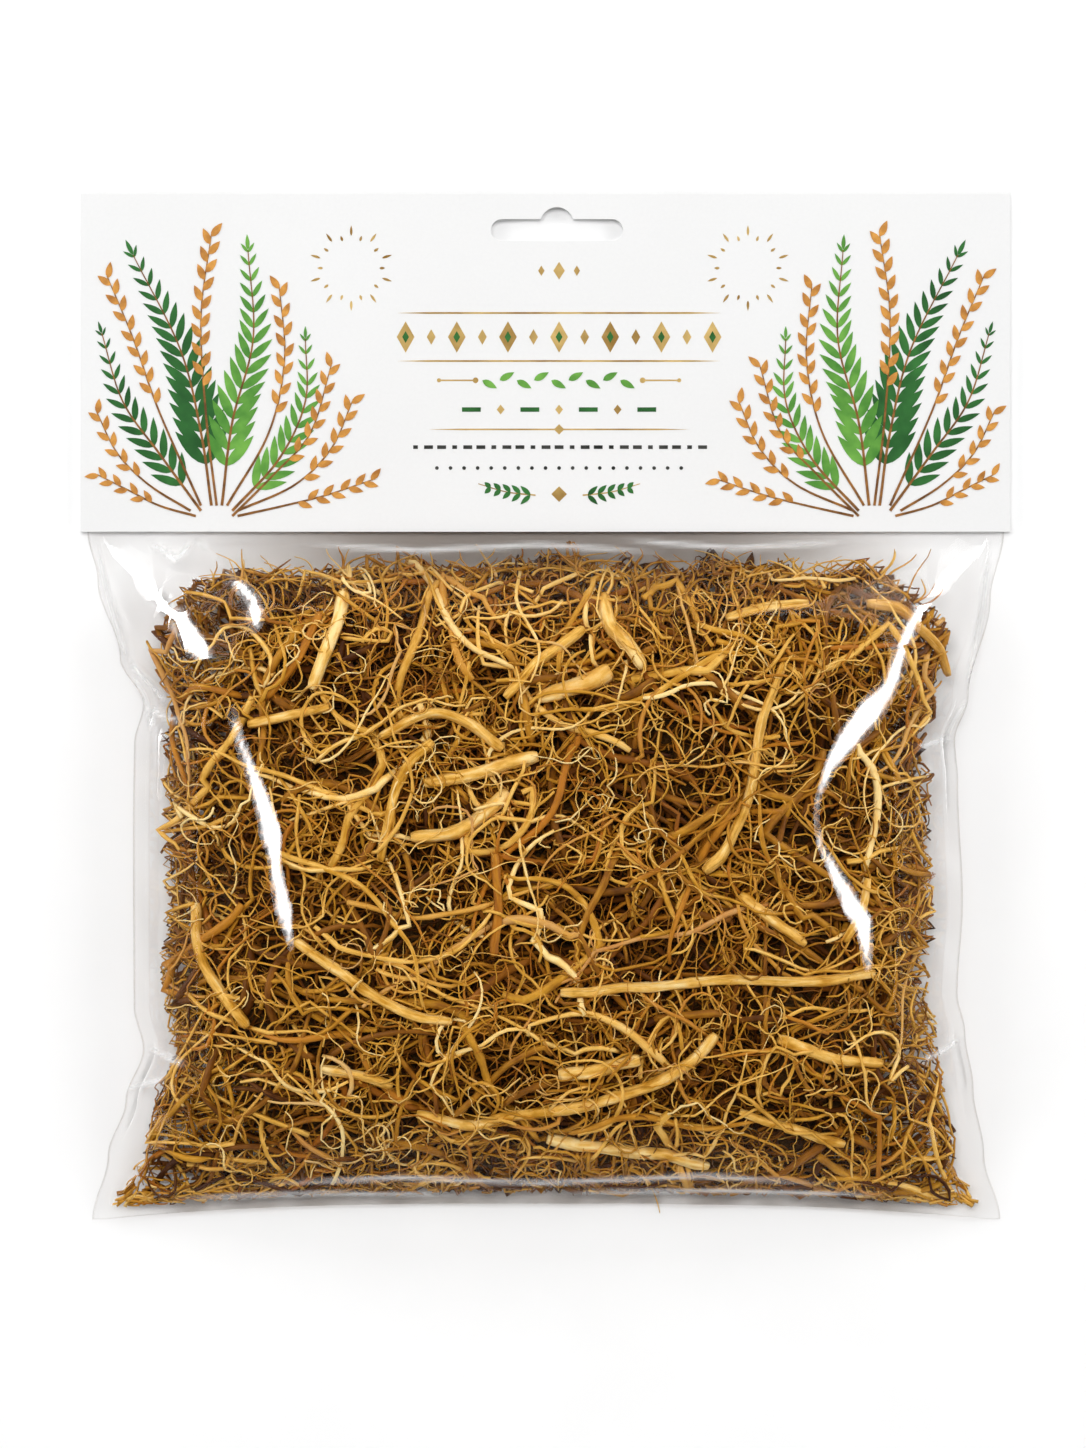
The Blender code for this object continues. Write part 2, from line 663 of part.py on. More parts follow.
def make_core(finish):
    """The tangle's rounded cushion of a core, smaller than the fill all round."""
    shape = bmesh.new()
    bmesh.ops.create_icosphere(shape, subdivisions=CORE_DETAIL, radius=1.0)
    middle_y = (FILL_TOP_Y + FILL_BOTTOM_Y) / 2
    for vert in shape.verts:
        norm = sum(abs(c) ** CORE_SQUARENESS for c in vert.co) ** (1 / CORE_SQUARENESS)
        across, along, level = vert.co / norm
        y = middle_y + along * CORE_REACH_Y * (FILL_TOP_Y - FILL_BOTTOM_Y) / 2
        x = x_of(across * CORE_REACH_X, y)
        middle, half = room(x, y)
        vert.co = Vector((x, y, middle + level * CORE_SHARE * half))
    mesh = bpy.data.meshes.new("root_tangle")
    shape.to_mesh(mesh)
    shape.free()
    mesh.materials.append(finish)
    core = bpy.data.objects.new("root_tangle", mesh)
    bpy.context.scene.collection.objects.link(core)
    return core


def join_strands(core, strands):
    """Fuses the strands to the core with one union, then removes the separate strands."""
    bundle = bpy.data.collections.new("strands")
    bpy.context.scene.collection.children.link(bundle)
    for strand in strands:
        bpy.context.scene.collection.objects.unlink(strand)
        bundle.objects.link(strand)
    union = core.modifiers.new("strands", "BOOLEAN")
    union.operand_type = "COLLECTION"
    union.collection = bundle
    union.operation = "UNION"
    union.solver = "MANIFOLD"
    with bpy.context.temp_override(object=core, active_object=core):
        bpy.ops.object.modifier_apply(modifier=union.name)
    for strand in strands:
        bpy.data.objects.remove(strand, do_unlink=True)
    bpy.data.collections.remove(bundle)
    keep_largest_body(core)


def keep_largest_body(obj):
    """Drops the scraps that the union left loose."""
    shape = bmesh.new()
    shape.from_mesh(obj.data)
    unseen = set(shape.verts)
    bodies = []
    while unseen:
        front = [unseen.pop()]
        body = list(front)
        while front:
            vert = front.pop()
            for edge in vert.link_edges:
                other = edge.other_vert(vert)
                if other in unseen:
                    unseen.remove(other)
                    front.append(other)
                    body.append(other)
        bodies.append(body)
    bodies.sort(key=len)
    scraps = [vert for body in bodies[:-1] for vert in body]
    bmesh.ops.delete(shape, geom=scraps, context="VERTS")
    shape.to_mesh(obj.data)
    shape.free()


def make_roots(bag, tangle_finish, piece_finish):
    film = Film(bag)
    lying = {1: Lying(1), -1: Lying(-1)}
    for side, pieces in ((1, FRONT_PIECES), (-1, BACK_PIECES)):
        for name, start, end, route in pieces:
            lying[side].add(*thick_piece(film, name, start, end, route, side, piece_finish))
        lying[side].close()
    rng = random.Random(SEED)
    core = make_core(tangle_finish)
    strands = []
    for side, count in ((1, FRONT_ROOTS), (-1, BACK_ROOTS)):
        for i in range(count):
            name = f"face_{side}_{i}"
            strands.append(
                face_root(rng, name, (i + 0.5) / count, i, side, film, lying, tangle_finish)
            )
    for i in range(RIM_ROOTS):
        strands.append(rim_root(rng, f"rim_{i}", i / RIM_ROOTS, film, lying, tangle_finish))
    join_strands(core, [strand for strand in strands if strand])


def main():
    clear_scene()
    make_card(material("card", (0.93, 0.93, 0.92), 0.55))
    bag = make_bag(material("film", (0.92, 0.93, 0.94), 0.08, 0.2))
    make_roots(
        bag,
        material("fine_root", (0.33, 0.18, 0.06), 0.8),
        material("thick_root", (0.52, 0.32, 0.12), 0.75),
    )


main()
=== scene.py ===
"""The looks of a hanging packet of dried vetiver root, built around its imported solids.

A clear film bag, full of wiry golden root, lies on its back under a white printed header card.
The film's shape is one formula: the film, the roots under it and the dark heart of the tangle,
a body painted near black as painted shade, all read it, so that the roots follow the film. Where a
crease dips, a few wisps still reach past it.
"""

import math
from collections import namedtuple

import bpy
import numpy as np
from mathutils import Matrix, Vector, noise


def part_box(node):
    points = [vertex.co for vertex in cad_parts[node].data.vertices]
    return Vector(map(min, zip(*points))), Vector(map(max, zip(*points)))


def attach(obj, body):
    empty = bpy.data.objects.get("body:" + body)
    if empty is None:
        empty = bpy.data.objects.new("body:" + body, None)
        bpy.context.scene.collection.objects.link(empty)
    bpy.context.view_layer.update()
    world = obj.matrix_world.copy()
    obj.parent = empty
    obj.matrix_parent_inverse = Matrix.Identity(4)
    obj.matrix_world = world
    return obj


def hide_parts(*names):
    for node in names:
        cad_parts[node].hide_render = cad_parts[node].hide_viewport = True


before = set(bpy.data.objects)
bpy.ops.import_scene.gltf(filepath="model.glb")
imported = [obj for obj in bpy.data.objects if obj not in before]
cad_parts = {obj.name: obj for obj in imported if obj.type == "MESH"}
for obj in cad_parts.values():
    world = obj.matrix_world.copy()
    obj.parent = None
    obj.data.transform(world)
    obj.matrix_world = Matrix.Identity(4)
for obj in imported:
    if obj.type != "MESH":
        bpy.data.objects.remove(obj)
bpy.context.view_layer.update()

MM = 0.001
SEED = 29

# The photograph's scale, for the places of roots, creases and print: (x, y) in its pixels
MM_PER_PIXEL = 0.192
PIXEL_MIDDLE_X = 545.5
PIXEL_MIDDLE_Y = 704.0
PICTURE_CENTRE = (543.0, 724.0)
PICTURE_HEIGHT = 1448.0
LENS = 120.0
SENSOR = 36.0

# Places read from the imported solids
card_low, card_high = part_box("header_card")
bag_low, bag_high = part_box("clear_bag")
CARD_EDGE_Y = card_low.y
CARD_TOP_Z = card_high.z
FLAP_Z = card_high.z / 2
BAG_CORNER_Y = bag_low.y
BAG_HEIGHT = bag_high.z

# The bag, as in the part's own source
FILM = 0.25 * MM
HALF_FLAP = 0.375 * MM
WELD = 2.6 * MM
BOTTOM_SEAL = 1.3 * MM
BOTTOM_PULL_IN = 3.0 * MM
TOP_SHOULDER = 34.0 * MM
BOTTOM_SHOULDER = 42.0 * MM
SIDE_FULLNESS = 2.8
SIDE_ROUNDNESS = 0.62
BOTTOM_ROUNDNESS = 0.7
TOP_ROUNDNESS = 2.4
BACK_DOWN_SHARE = 0.35
STEEPEST = 4.0
DEEPEST_SHARE = 0.8
LEFT_EDGE = [(-98.7, 86.8), (-86.4, 83.8), (-75.8, 80.3), (-65.9, 76.9), (-58.0, 78.7),
             (-23.0, 78.8), (-7.5, 78.6), (0.0, 76.9), (8.8, 81.4), (23.6, 85.8), (33.0, 87.9)]
RIGHT_EDGE = [(-98.7, 87.1), (-86.4, 84.0), (-73.5, 81.8), (-62.8, 80.2), (-55.3, 78.7),
              (-37.6, 79.7), (-14.6, 78.8), (-6.9, 78.2), (1.3, 80.8), (20.0, 85.2), (33.0, 87.9)]
SEAM_HEIGHT = [(-98.7, 2.2), (-62.0, 4.8), (-5.0, 4.8), (22.0, 2.6), (33.0, FLAP_Z / MM)]

# Thick root pieces, as in the part's own source: radius at both ends and route, in mm
FRONT_PIECES = [
    ("pale_stick", 1.5, 1.2, [(-38.0, 21.0), (-38.8, 16.0), (-40.8, 10.5), (-43.7, 2.7)]),
    ("brown_strand", 0.8, 0.8, [(-42.6, 17.0), (-46.4, 8.4), (-52.4, 1.2)]),
    ("left_piece", 1.0, 0.8, [(-55.8, -4.0), (-48.1, -2.4), (-40.4, -0.8)]),
    ("arched_root", 0.8, 1.0, [(-30.8, -6.5), (-21.8, -1.9), (-14.5, -3.5), (-7.8, -8.3)]),
    ("grey_stick", 1.0, 0.9, [(-20.8, -7.3), (-25.6, -11.7), (-28.6, -18.4), (-30.4, -29.6)]),
    ("banded_stick", 1.1, 1.4, [(-22.6, -15.0), (-12.6, -13.2), (-1.5, -9.5)]),
    ("ribbed_stick", 1.2, 1.4, [(-25.1, -24.8), (-17.4, -24.0), (-10.7, -20.0), (-7.0, -16.4)]),
    ("slant_root", 1.0, 0.8, [(7.0, 14.2), (0.5, 9.2), (-7.8, 1.3)]),
    ("crown_stump", 1.2, 2.1, [(-1.5, 1.0), (5.5, 3.2), (12.0, 6.2)]),
    ("elbow_root", 1.2, 1.3, [(11.2, 20.5), (12.2, 15.5), (15.8, 10.8), (18.3, 6.6)]),
    ("upper_root", 0.9, 0.9, [(33.9, 16.0), (41.2, 18.2), (49.5, 19.0)]),
    ("hook_root", 1.0, 1.0, [(60.8, 18.8), (68.0, 17.4), (73.4, 12.2), (76.6, 5.6)]),
    ("right_runner", 0.8, 1.0, [(45.0, 7.7), (42.1, 0.8), (39.6, -7.3), (38.3, -16.5),
                                (34.8, -25.7), (29.7, -31.5)]),
    ("short_root", 1.1, 0.9, [(36.4, -35.7), (43.1, -41.2), (48.6, -45.2)]),
    ("curled_root", 0.9, 0.8, [(61.0, -33.0), (59.6, -39.0), (56.0, -44.6)]),
    ("upright_strand", 0.9, 0.8, [(-9.3, -28.0), (-8.7, -37.6), (-9.5, -47.2)]),
    ("level_root", 0.9, 1.0, [(2.8, -54.0), (18.1, -53.0), (33.5, -51.8), (48.9, -52.0),
                              (61.9, -50.7)]),
    ("side_root", 1.0, 1.0, [(-66.0, -37.6), (-64.4, -49.2), (-55.8, -60.6)]),
    ("left_runner", 1.1, 0.9, [(-47.1, -44.4), (-38.5, -50.1), (-27.9, -56.8), (-17.4, -59.1)]),
    ("low_strand", 0.9, 0.9, [(-42.4, -68.3), (-35.0, -69.4), (-28.6, -71.6)]),
    ("long_curve", 1.0, 1.2, [(-24.2, -77.0), (-14.1, -79.3), (-4.9, -77.2), (8.5, -74.9),
                              (20.1, -71.4), (27.7, -66.8), (32.0, -62.0)]),
    ("pale_stub", 1.4, 1.3, [(2.5, -69.8), (10.5, -68.6), (17.6, -66.4)]),
    ("right_root", 1.2, 1.0, [(43.6, -62.7), (53.6, -66.4), (63.4, -68.0)]),
    ("low_right", 0.8, 0.9, [(36.4, -77.0), (46.9, -80.2), (56.6, -83.2)]),
    ("long_pale_root", 1.2, 1.0, [(0.3, -82.4), (10.5, -83.7), (21.0, -85.4), (31.0, -87.6)]),
]
BACK_PIECES = [
    ("back_root_1", 1.1, 1.0, [(-52.0, 8.0), (-38.0, 3.0), (-24.0, 4.0), (-12.0, 10.0)]),
    ("back_root_2", 1.3, 1.0, [(14.0, 12.0), (26.0, 4.0), (40.0, 3.0), (54.0, -3.0)]),
    ("back_root_3", 0.9, 1.1, [(-58.0, -18.0), (-50.0, -30.0), (-38.0, -36.0)]),
    ("back_root_4", 1.2, 1.2, [(-16.0, -12.0), (-2.0, -18.0), (16.0, -15.0)]),
    ("back_root_5", 1.0, 0.9, [(30.0, -20.0), (42.0, -30.0), (58.0, -34.0)]),
    ("back_root_6", 1.1, 1.0, [(-28.0, -50.0), (-10.0, -44.0), (8.0, -47.0), (22.0, -42.0)]),
    ("back_root_7", 1.2, 1.0, [(-46.0, -62.0), (-30.0, -70.0), (-10.0, -72.0)]),
    ("back_root_8", 1.0, 1.0, [(20.0, -62.0), (36.0, -68.0), (52.0, -62.0)]),
]
# Pieces whose colour stands out in the photograph, as (tone, rust)
PIECE_COLOURS = {
    "pale_stick": (0.86, 0.05), "brown_strand": (0.42, 0.65), "grey_stick": (0.62, 0.0),
    "crown_stump": (0.80, 0.25), "upright_strand": (0.38, 0.55), "pale_stub": (0.84, 0.1),
    "long_pale_root": (0.88, 0.1), "elbow_root": (0.82, 0.1), "hook_root": (0.66, 0.3),
    "slant_root": (0.70, 0.0), "banded_stick": (0.80, 0.15), "ribbed_stick": (0.84, 0.15),
}
OTHER_COLOUR = (0.74, 0.12)


def from_pixels(points):
    """Pixels of the photograph to metres on the packet."""
    return [((px - PIXEL_MIDDLE_X) * MM_PER_PIXEL * MM, (PIXEL_MIDDLE_Y - py) * MM_PER_PIXEL * MM)
            for px, py in points]


CAMERA_HEIGHT = PICTURE_HEIGHT * MM_PER_PIXEL * LENS / SENSOR * MM
CAMERA_PLACE = (*from_pixels([PICTURE_CENTRE])[0], CAMERA_HEIGHT)


# The film's shape. Every function takes numpy arrays.

def smoothstep(value):
    t = np.clip(value, 0.0, 1.0)
    return t * t * (3 - 2 * t)


def read_curve(table, y):
    """The value at y of a smooth curve through a table of (y, value) in millimetres."""
    ys, values = np.array(table, float).T * MM
    y = np.asarray(y, float)
    i = np.clip(np.searchsorted(ys, y) - 1, 0, len(ys) - 2)
    return values[i] + (values[i + 1] - values[i]) * smoothstep((y - ys[i]) / (ys[i + 1] - ys[i]))


def cavity_edges(y):
    return -read_curve(LEFT_EDGE, y) + WELD, read_curve(RIGHT_EDGE, y) - WELD


def across_of(x, y):
    left, right = cavity_edges(y)
    return (2 * x - left - right) / (right - left)


def x_of(across, y):
    left, right = cavity_edges(y)
    return (left + right) / 2 + across * (right - left) / 2


def cavity_bottom(across):
    return BAG_CORNER_Y + BOTTOM_SEAL + BOTTOM_PULL_IN * (1 - np.clip(np.abs(across), 0, 1) ** 3)


def side_profile(across):
    return np.maximum(0.0, 1 - np.abs(across) ** SIDE_FULLNESS) ** SIDE_ROUNDNESS


def bulge(across, y):
    up = np.clip((y - cavity_bottom(across)) / BOTTOM_SHOULDER, 0, 1)
    down = np.clip((CARD_EDGE_Y - y) / TOP_SHOULDER, 0, 1)
    rise = (1 - (1 - up) ** 2) ** BOTTOM_ROUNDNESS
    return side_profile(across) * rise * (1 - (1 - down) ** TOP_ROUNDNESS)


def front_z(across, y):
    seam = read_curve(SEAM_HEIGHT, y)
    return seam + HALF_FLAP + (BAG_HEIGHT - seam - HALF_FLAP) * bulge(across, y)


def back_z(across, y):
    seam = read_curve(SEAM_HEIGHT, y)
    return (seam - HALF_FLAP) * (1 - smoothstep(bulge(across, y) / BACK_DOWN_SHARE))


def room(x, y):
    """Middle height and half height of the space for the roots."""
    across = across_of(x, y)
    top = front_z(across, y) - FILM
    bottom = back_z(across, y) + FILM
    return (top + bottom) / 2, np.maximum(top - bottom, 0.0) / 2


def slopes(height, x, y, step):
    """How steeply a height rises along x and along y."""
    return ((height(x + step, y) - height(x - step, y)) / (2 * step),
            (height(x, y + step) - height(x, y - step)) / (2 * step))


def tilt(x, y, side):
    """How much longer than straight down a depth is, where the film slopes."""
    def face(px, py):
        middle, half = room(px, py)
        return middle + side * half

    slope_x, slope_y = slopes(face, x, y, 0.5 * MM)
    return np.minimum(np.sqrt(1 + slope_x**2 + slope_y**2), STEEPEST)


def under_film(x, y, side, depth):
    """Height of a point that is depth inside the film, kept in the bag where it is shallow."""
    middle, half = room(x, y)
    return middle + side * np.maximum(half - depth * tilt(x, y, side), -DEEPEST_SHARE * half)


# Materials

class Wire:
    """A shader socket that Python's arithmetic works on: each operation adds a Math node."""

    def __init__(self, finish, socket):
        self.finish = finish
        self.socket = socket

    def _math(self, operation, *values):
        return self.finish.node(
            "ShaderNodeMath", {"operation": operation}, dict(enumerate(values))
        )

    def __add__(self, other):
        return self._math("ADD", self, other)

    def __sub__(self, other):
        return self._math("SUBTRACT", self, other)

    def __rsub__(self, other):
        return self._math("SUBTRACT", other, self)

    def __mul__(self, other):
        return self._math("MULTIPLY", self, other)

    # For a number on the left
    __radd__ = __add__
    __rmul__ = __mul__

    def between(self, low, high):
        return self.finish.node("ShaderNodeClamp", {}, {"Value": self, "Min": low, "Max": high})


class Finish:
    """One material and the few ways in which its nodes are made."""

    def __init__(self, name):
        self.material = bpy.data.materials.new(name)
        self.material.use_nodes = True
        self.tree = self.material.node_tree
        self.tree.nodes.clear()

    def node(self, kind, settings, values, out=0):
        made = self.tree.nodes.new(kind)
        stops = settings.pop("stops", None)
        for key, value in settings.items():
            setattr(made, key, value)
        if stops:
            while len(made.color_ramp.elements) < len(stops):
                made.color_ramp.elements.new(0.5)
            for element, (place, colour) in zip(made.color_ramp.elements, stops):
                element.position = place
                element.color = (*colour, 1.0)
        for key, value in values.items():
            if isinstance(value, Wire):
                self.tree.links.new(value.socket, made.inputs[key])
            else:
                made.inputs[key].default_value = value
        return Wire(self, made.outputs[out])

    def place(self):
        return self.node("ShaderNodeTexCoord", {}, {}, "Object")

    def attribute(self, name, out="Fac"):
        return self.node("ShaderNodeAttribute", {"attribute_name": name}, {}, out)

    def stretched(self, vector, scale):
        return self.node("ShaderNodeMapping", {}, {"Vector": vector, "Scale": scale})

    def noise(self, vector, scale, detail=3.0, roughness=0.55):
        return self.node(
            "ShaderNodeTexNoise", {},
            {"Vector": vector, "Scale": scale, "Detail": detail, "Roughness": roughness},
        )

    def ramp(self, factor, stops):
        return self.node("ShaderNodeValToRGB", {"stops": stops}, {"Fac": factor})

    def mix(self, factor, first, second):
        return self.node(
            "ShaderNodeMix", {"data_type": "RGBA"}, {0: factor, 6: first, 7: second}, 2
        )

    def bump(self, height, distance, strength=1.0):
        return self.node(
            "ShaderNodeBump", {},
            {"Height": height, "Distance": distance, "Strength": strength},
        )

    def principled(self, **values):
        named = {key.replace("_", " ").title().replace("Ior", "IOR"): v for key, v in values.items()}
        shader = self.node("ShaderNodeBsdfPrincipled", {}, named)
        return self.finish_with(shader)

    def finish_with(self, shader):
        output = self.tree.nodes.new("ShaderNodeOutputMaterial")
        self.tree.links.new(shader.socket, output.inputs["Surface"])
        return self.material


ROOT_STOPS = [
    (0.00, (0.048, 0.012, 0.001)),
    (0.28, (0.235, 0.085, 0.005)),
    (0.55, (0.550, 0.262, 0.020)),
    (0.78, (0.840, 0.495, 0.105)),
    (1.00, (0.970, 0.740, 0.320)),
]
RUST = (0.430, 0.140, 0.010, 1.0)


def dry_root(name, streak_tone, streak_depth):
    """Golden root: each has a tone of its own, with mottling and streaks along it."""
    finish = Finish(name)
    grain = finish.attribute("grain", "Vector")
    mottle = finish.noise(finish.place(), 260.0, 3.0)
    streaks = finish.noise(finish.stretched(grain, (1.0, 0.09, 1.0)), 2600.0, 3.0)
    # The tone attribute holds each root's own tone, and on the fine roots also painted shade, darker the
    # deeper they lie
    tone = finish.attribute("tone") + 0.55 * (mottle - 0.5) + streak_tone * (streaks - 0.5)
    colour = finish.ramp(tone.between(0.0, 1.0), ROOT_STOPS)
    rusty = finish.attribute("rust") * (0.4 + mottle)
    colour = finish.mix(rusty.between(0.0, 0.85), colour, RUST)
    values = {"base_color": colour, "roughness": (0.50 + 0.25 * streaks), "specular_ior_level": 0.22}
    if streak_depth:
        values["normal"] = finish.bump(streaks, streak_depth, 0.9)
    return finish.principled(**values)


def shade_heart():
    """Painted shade for the inside of the tangle: near-black brown, as the shade deep in the roots, seen
    only through the gaps.
    """
    finish = Finish("painted_shade_heart")
    place = finish.place()
    strands = finish.noise(finish.stretched(place, (1.0, 2.6, 1.0)), 700.0, 4.0, 0.7)
    colour = finish.ramp(strands, [(0.30, (0.020, 0.008, 0.002)), (0.70, (0.150, 0.070, 0.016))])
    return finish.principled(
        base_color=colour, roughness=0.9, normal=finish.bump(strands, 0.8 * MM)
    )


def clear_film():
    """Clear gloss film: see-through, with mirror-bright creases set by a painted highlight mask (gleam),
    painted white highlights along crease lines, and painted shade where it gathers under the card and
    at its edges.
    """
    finish = Finish("clear_gloss_film")
    place = finish.place()
    crinkle = finish.noise(place, 90.0, 2.0, 0.4)
    surface = finish.bump(crinkle, 0.4 * MM, 0.06)
    shine = finish.node(
        "ShaderNodeBsdfAnisotropic", {}, {"Color": (1, 1, 1, 1), "Roughness": 0.04, "Normal": surface}
    )
    clear = finish.node("ShaderNodeBsdfTransparent", {}, {"Color": (0.998, 0.998, 0.998, 1)})
    # Painted shade: a smoky see-through colour mixed in by the shade attribute
    shade = finish.node("ShaderNodeBsdfTransparent", {}, {"Color": (0.42, 0.37, 0.33, 1)})
    # Painted highlight: white diffuse mixed in along the crease lines by the white attribute
    white = finish.node("ShaderNodeBsdfDiffuse", {}, {"Color": (0.88, 0.88, 0.88, 1)})
    body = finish.node("ShaderNodeMixShader", {}, {0: finish.attribute("shade"), 1: clear, 2: shade})
    body = finish.node("ShaderNodeMixShader", {}, {0: finish.attribute("white"), 1: body, 2: white})
    facing = finish.node("ShaderNodeFresnel", {}, {"IOR": 1.5, "Normal": surface})
    streaks = finish.noise(finish.stretched(place, (1.0, 0.3, 1.0)), 420.0, 2.0, 0.5)
    # Painted highlight: the gleam mask, broken into streaks, raises the film's mirror share where the
    # glints are drawn
    gleam = finish.attribute("gleam") * (0.15 + 1.9 * streaks) - 0.06
    gloss = (0.20 * facing).between(0.0, 0.10) + 0.38 * gleam.between(0.0, 1.0)
    film = finish.node("ShaderNodeMixShader", {}, {0: gloss, 1: body, 2: shine})
    return finish.finish_with(film)


def white_card():
    """Coated white card: a whisper of fibre and of handling in the gloss."""
    finish = Finish("white_coated_card")
    place = finish.place()
    fibre = finish.noise(place, 1500.0, 4.0, 0.6)
    cloud = finish.noise(place, 30.0, 2.0)
    colour = finish.ramp(
        0.5 * fibre + 0.5 * cloud, [(0.25, (0.760, 0.760, 0.758)), (0.75, (0.800, 0.800, 0.798))]
    )
    return finish.principled(
        base_color=colour, roughness=(0.34 + 0.14 * cloud), specular_ior_level=0.4,
        normal=finish.bump(fibre, 0.02 * MM, 0.4),
    )


def printed(name, dark, light, metallic, roughness, scale):
    """Ink or foil on the card, uneven from dark to light."""
    finish = Finish(name)
    place = finish.place()
    patches = finish.noise(place, scale, 3.0, 0.6)
    colour = finish.ramp(patches, [(0.32, dark), (0.68, light)])
    return finish.principled(
        base_color=colour, roughness=(roughness - 0.1 + 0.2 * patches), metallic=metallic
    )


def pale_floor():
    finish = Finish("pale_floor")
    speck = finish.noise(finish.place(), 40.0, 2.0)
    colour = finish.ramp(speck, [(0.3, (0.900, 0.900, 0.900)), (0.7, (0.920, 0.920, 0.920))])
    return finish.principled(base_color=colour, roughness=0.55, specular_ior_level=0.2)


# Meshes

def mesh_piece(name, points, faces, material, smooth=True):
    mesh = bpy.data.meshes.new(name)
    mesh.from_pydata(points, [], faces)
    mesh.materials.append(material)
    if smooth:
        mesh.shade_smooth()
    piece = bpy.data.objects.new(name, mesh)
    bpy.context.scene.collection.objects.link(piece)
    return piece


def points_of(piece):
    co = np.empty(len(piece.data.vertices) * 3)
    piece.data.vertices.foreach_get("co", co)
    return co.reshape(-1, 3)


def paint_points(piece, name, kind, values):
    layer = piece.data.attributes.new(name, kind, "POINT")
    field = "vector" if kind == "FLOAT_VECTOR" else "value"
    layer.data.foreach_set(field, np.asarray(values, np.float32).ravel())


def place_piece(piece, slot, *nodes):
    """Hides the solids that a finished piece stands for and hangs the piece on the root body. The slot is
    not used.
    """
    if nodes:
        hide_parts(*nodes)
    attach(piece, "root")


class Strands:
    """Gathers swept root strands and makes one mesh of them, with tone, rust and grain."""

    def __init__(self):
        self.points, self.faces = [], []
        self.tone, self.rust, self.grain = [], [], []
        self.count = 0

    def sweep(self, paths, radii, sides, tone, rust, spin, shape=None):
        """Tubes along paths (roots, steps, 3). Tone and rust may vary along each root."""
        roots, steps, _ = paths.shape
        ahead = np.gradient(paths, axis=1)
        ahead /= np.maximum(np.linalg.norm(ahead, axis=2, keepdims=True), 1e-12)
        normal = np.cross(ahead[:, 0], (0.31, 0.22, 0.93))
        normals = np.empty_like(paths)
        for i in range(steps):
            normal = normal - ahead[:, i] * np.sum(normal * ahead[:, i], axis=1, keepdims=True)
            normal /= np.maximum(np.linalg.norm(normal, axis=1, keepdims=True), 1e-12)
            normals[:, i] = normal
        sideways = np.cross(ahead, normals)
        turn = 2 * math.pi * np.arange(sides) / sides + spin[:, None]
        cosine = np.cos(turn)[:, None, :, None]
        sine = np.sin(turn)[:, None, :, None]
        reach = np.broadcast_to(radii[:, :, None], (roots, steps, sides))
        if shape is not None:
            reach = reach * shape
        ring = normals[:, :, None] * cosine + sideways[:, :, None] * sine
        points = paths[:, :, None] + ring * reach[..., None]

        i, k = np.meshgrid(np.arange(steps - 1), np.arange(sides), indexing="ij")
        a, b = i * sides + k, i * sides + (k + 1) % sides
        quads = np.stack([a, b, b + sides, a + sides], axis=-1).reshape(-1, 4)
        offsets = self.count + np.arange(roots) * steps * sides
        self.faces += (quads[None] + offsets[:, None, None]).reshape(-1, 4).tolist()
        start = np.arange(sides)[::-1]
        end = np.arange(sides) + (steps - 1) * sides
        for cap in (start, end):
            self.faces += (cap[None] + offsets[:, None]).tolist()

        length = np.cumsum(np.linalg.norm(np.diff(paths, axis=1, prepend=paths[:, :1]), axis=2), 1)
        around = np.broadcast_to((turn * 0.5 * MM)[:, None, :], (roots, steps, sides))
        along = np.broadcast_to(length[:, :, None], (roots, steps, sides))
        root_place = np.broadcast_to(spin[:, None, None] * 0.1, (roots, steps, sides))
        grain = np.stack([around, along, root_place], axis=-1)
        shape_to = (roots, steps, sides)
        self.points.append(points.reshape(-1, 3))
        self.grain.append(grain.reshape(-1, 3))
        self.tone.append(np.broadcast_to(tone.reshape(roots, -1, 1), shape_to).ravel())
        self.rust.append(np.broadcast_to(rust.reshape(roots, -1, 1), shape_to).ravel())
        self.count += roots * steps * sides

    def piece(self, name, material):
        made = mesh_piece(name, np.concatenate(self.points).tolist(), self.faces, material)
        paint_points(made, "tone", "FLOAT", np.concatenate(self.tone))
        paint_points(made, "rust", "FLOAT", np.concatenate(self.rust))
        paint_points(made, "grain", "FLOAT_VECTOR", np.concatenate(self.grain))
        return made


# How far out to the sides, as a share of the half width, and how far up a root may reach
RIM = 0.97
STRAY_TOP_Y = CARD_EDGE_Y - 2.0 * MM

# Thick root pieces

THICK_STEP = 0.8 * MM
THICK_SIDES = 14
RIDGES = 4
SUNK = 0.6 * MM
ROOTLET_STEPS = 9
ROOTLET_STRIDE = 1.7 * MM


def smooth_route(route, step):
    """Points about step apart on a smooth curve through the route, which is in millimetres."""
    knots = np.array(route, float) * MM
    knots = np.vstack([2 * knots[0] - knots[1], knots, 2 * knots[-1] - knots[-2]])
    found = []
    for p0, p1, p2, p3 in zip(knots, knots[1:], knots[2:], knots[3:]):
        count = max(1, round(float(np.linalg.norm(p2 - p1)) / step))
        t = np.arange(count)[:, None] / count
        found.append(0.5 * (2 * p1 + (p2 - p0) * t + (2 * p0 - 5 * p1 + 4 * p2 - p3) * t**2
                            + (3 * p1 - p0 - 3 * p2 + p3) * t**3))
    return np.vstack(found + [knots[-2:-1]])


def slow_noise(rng, count, spacing):
    """A smooth random run of count values, a new swing about every spacing steps."""
    knots = rng.normal(0, 1, int(count / spacing) + 3)
    return np.interp(np.arange(count) / spacing, np.arange(len(knots)), knots)


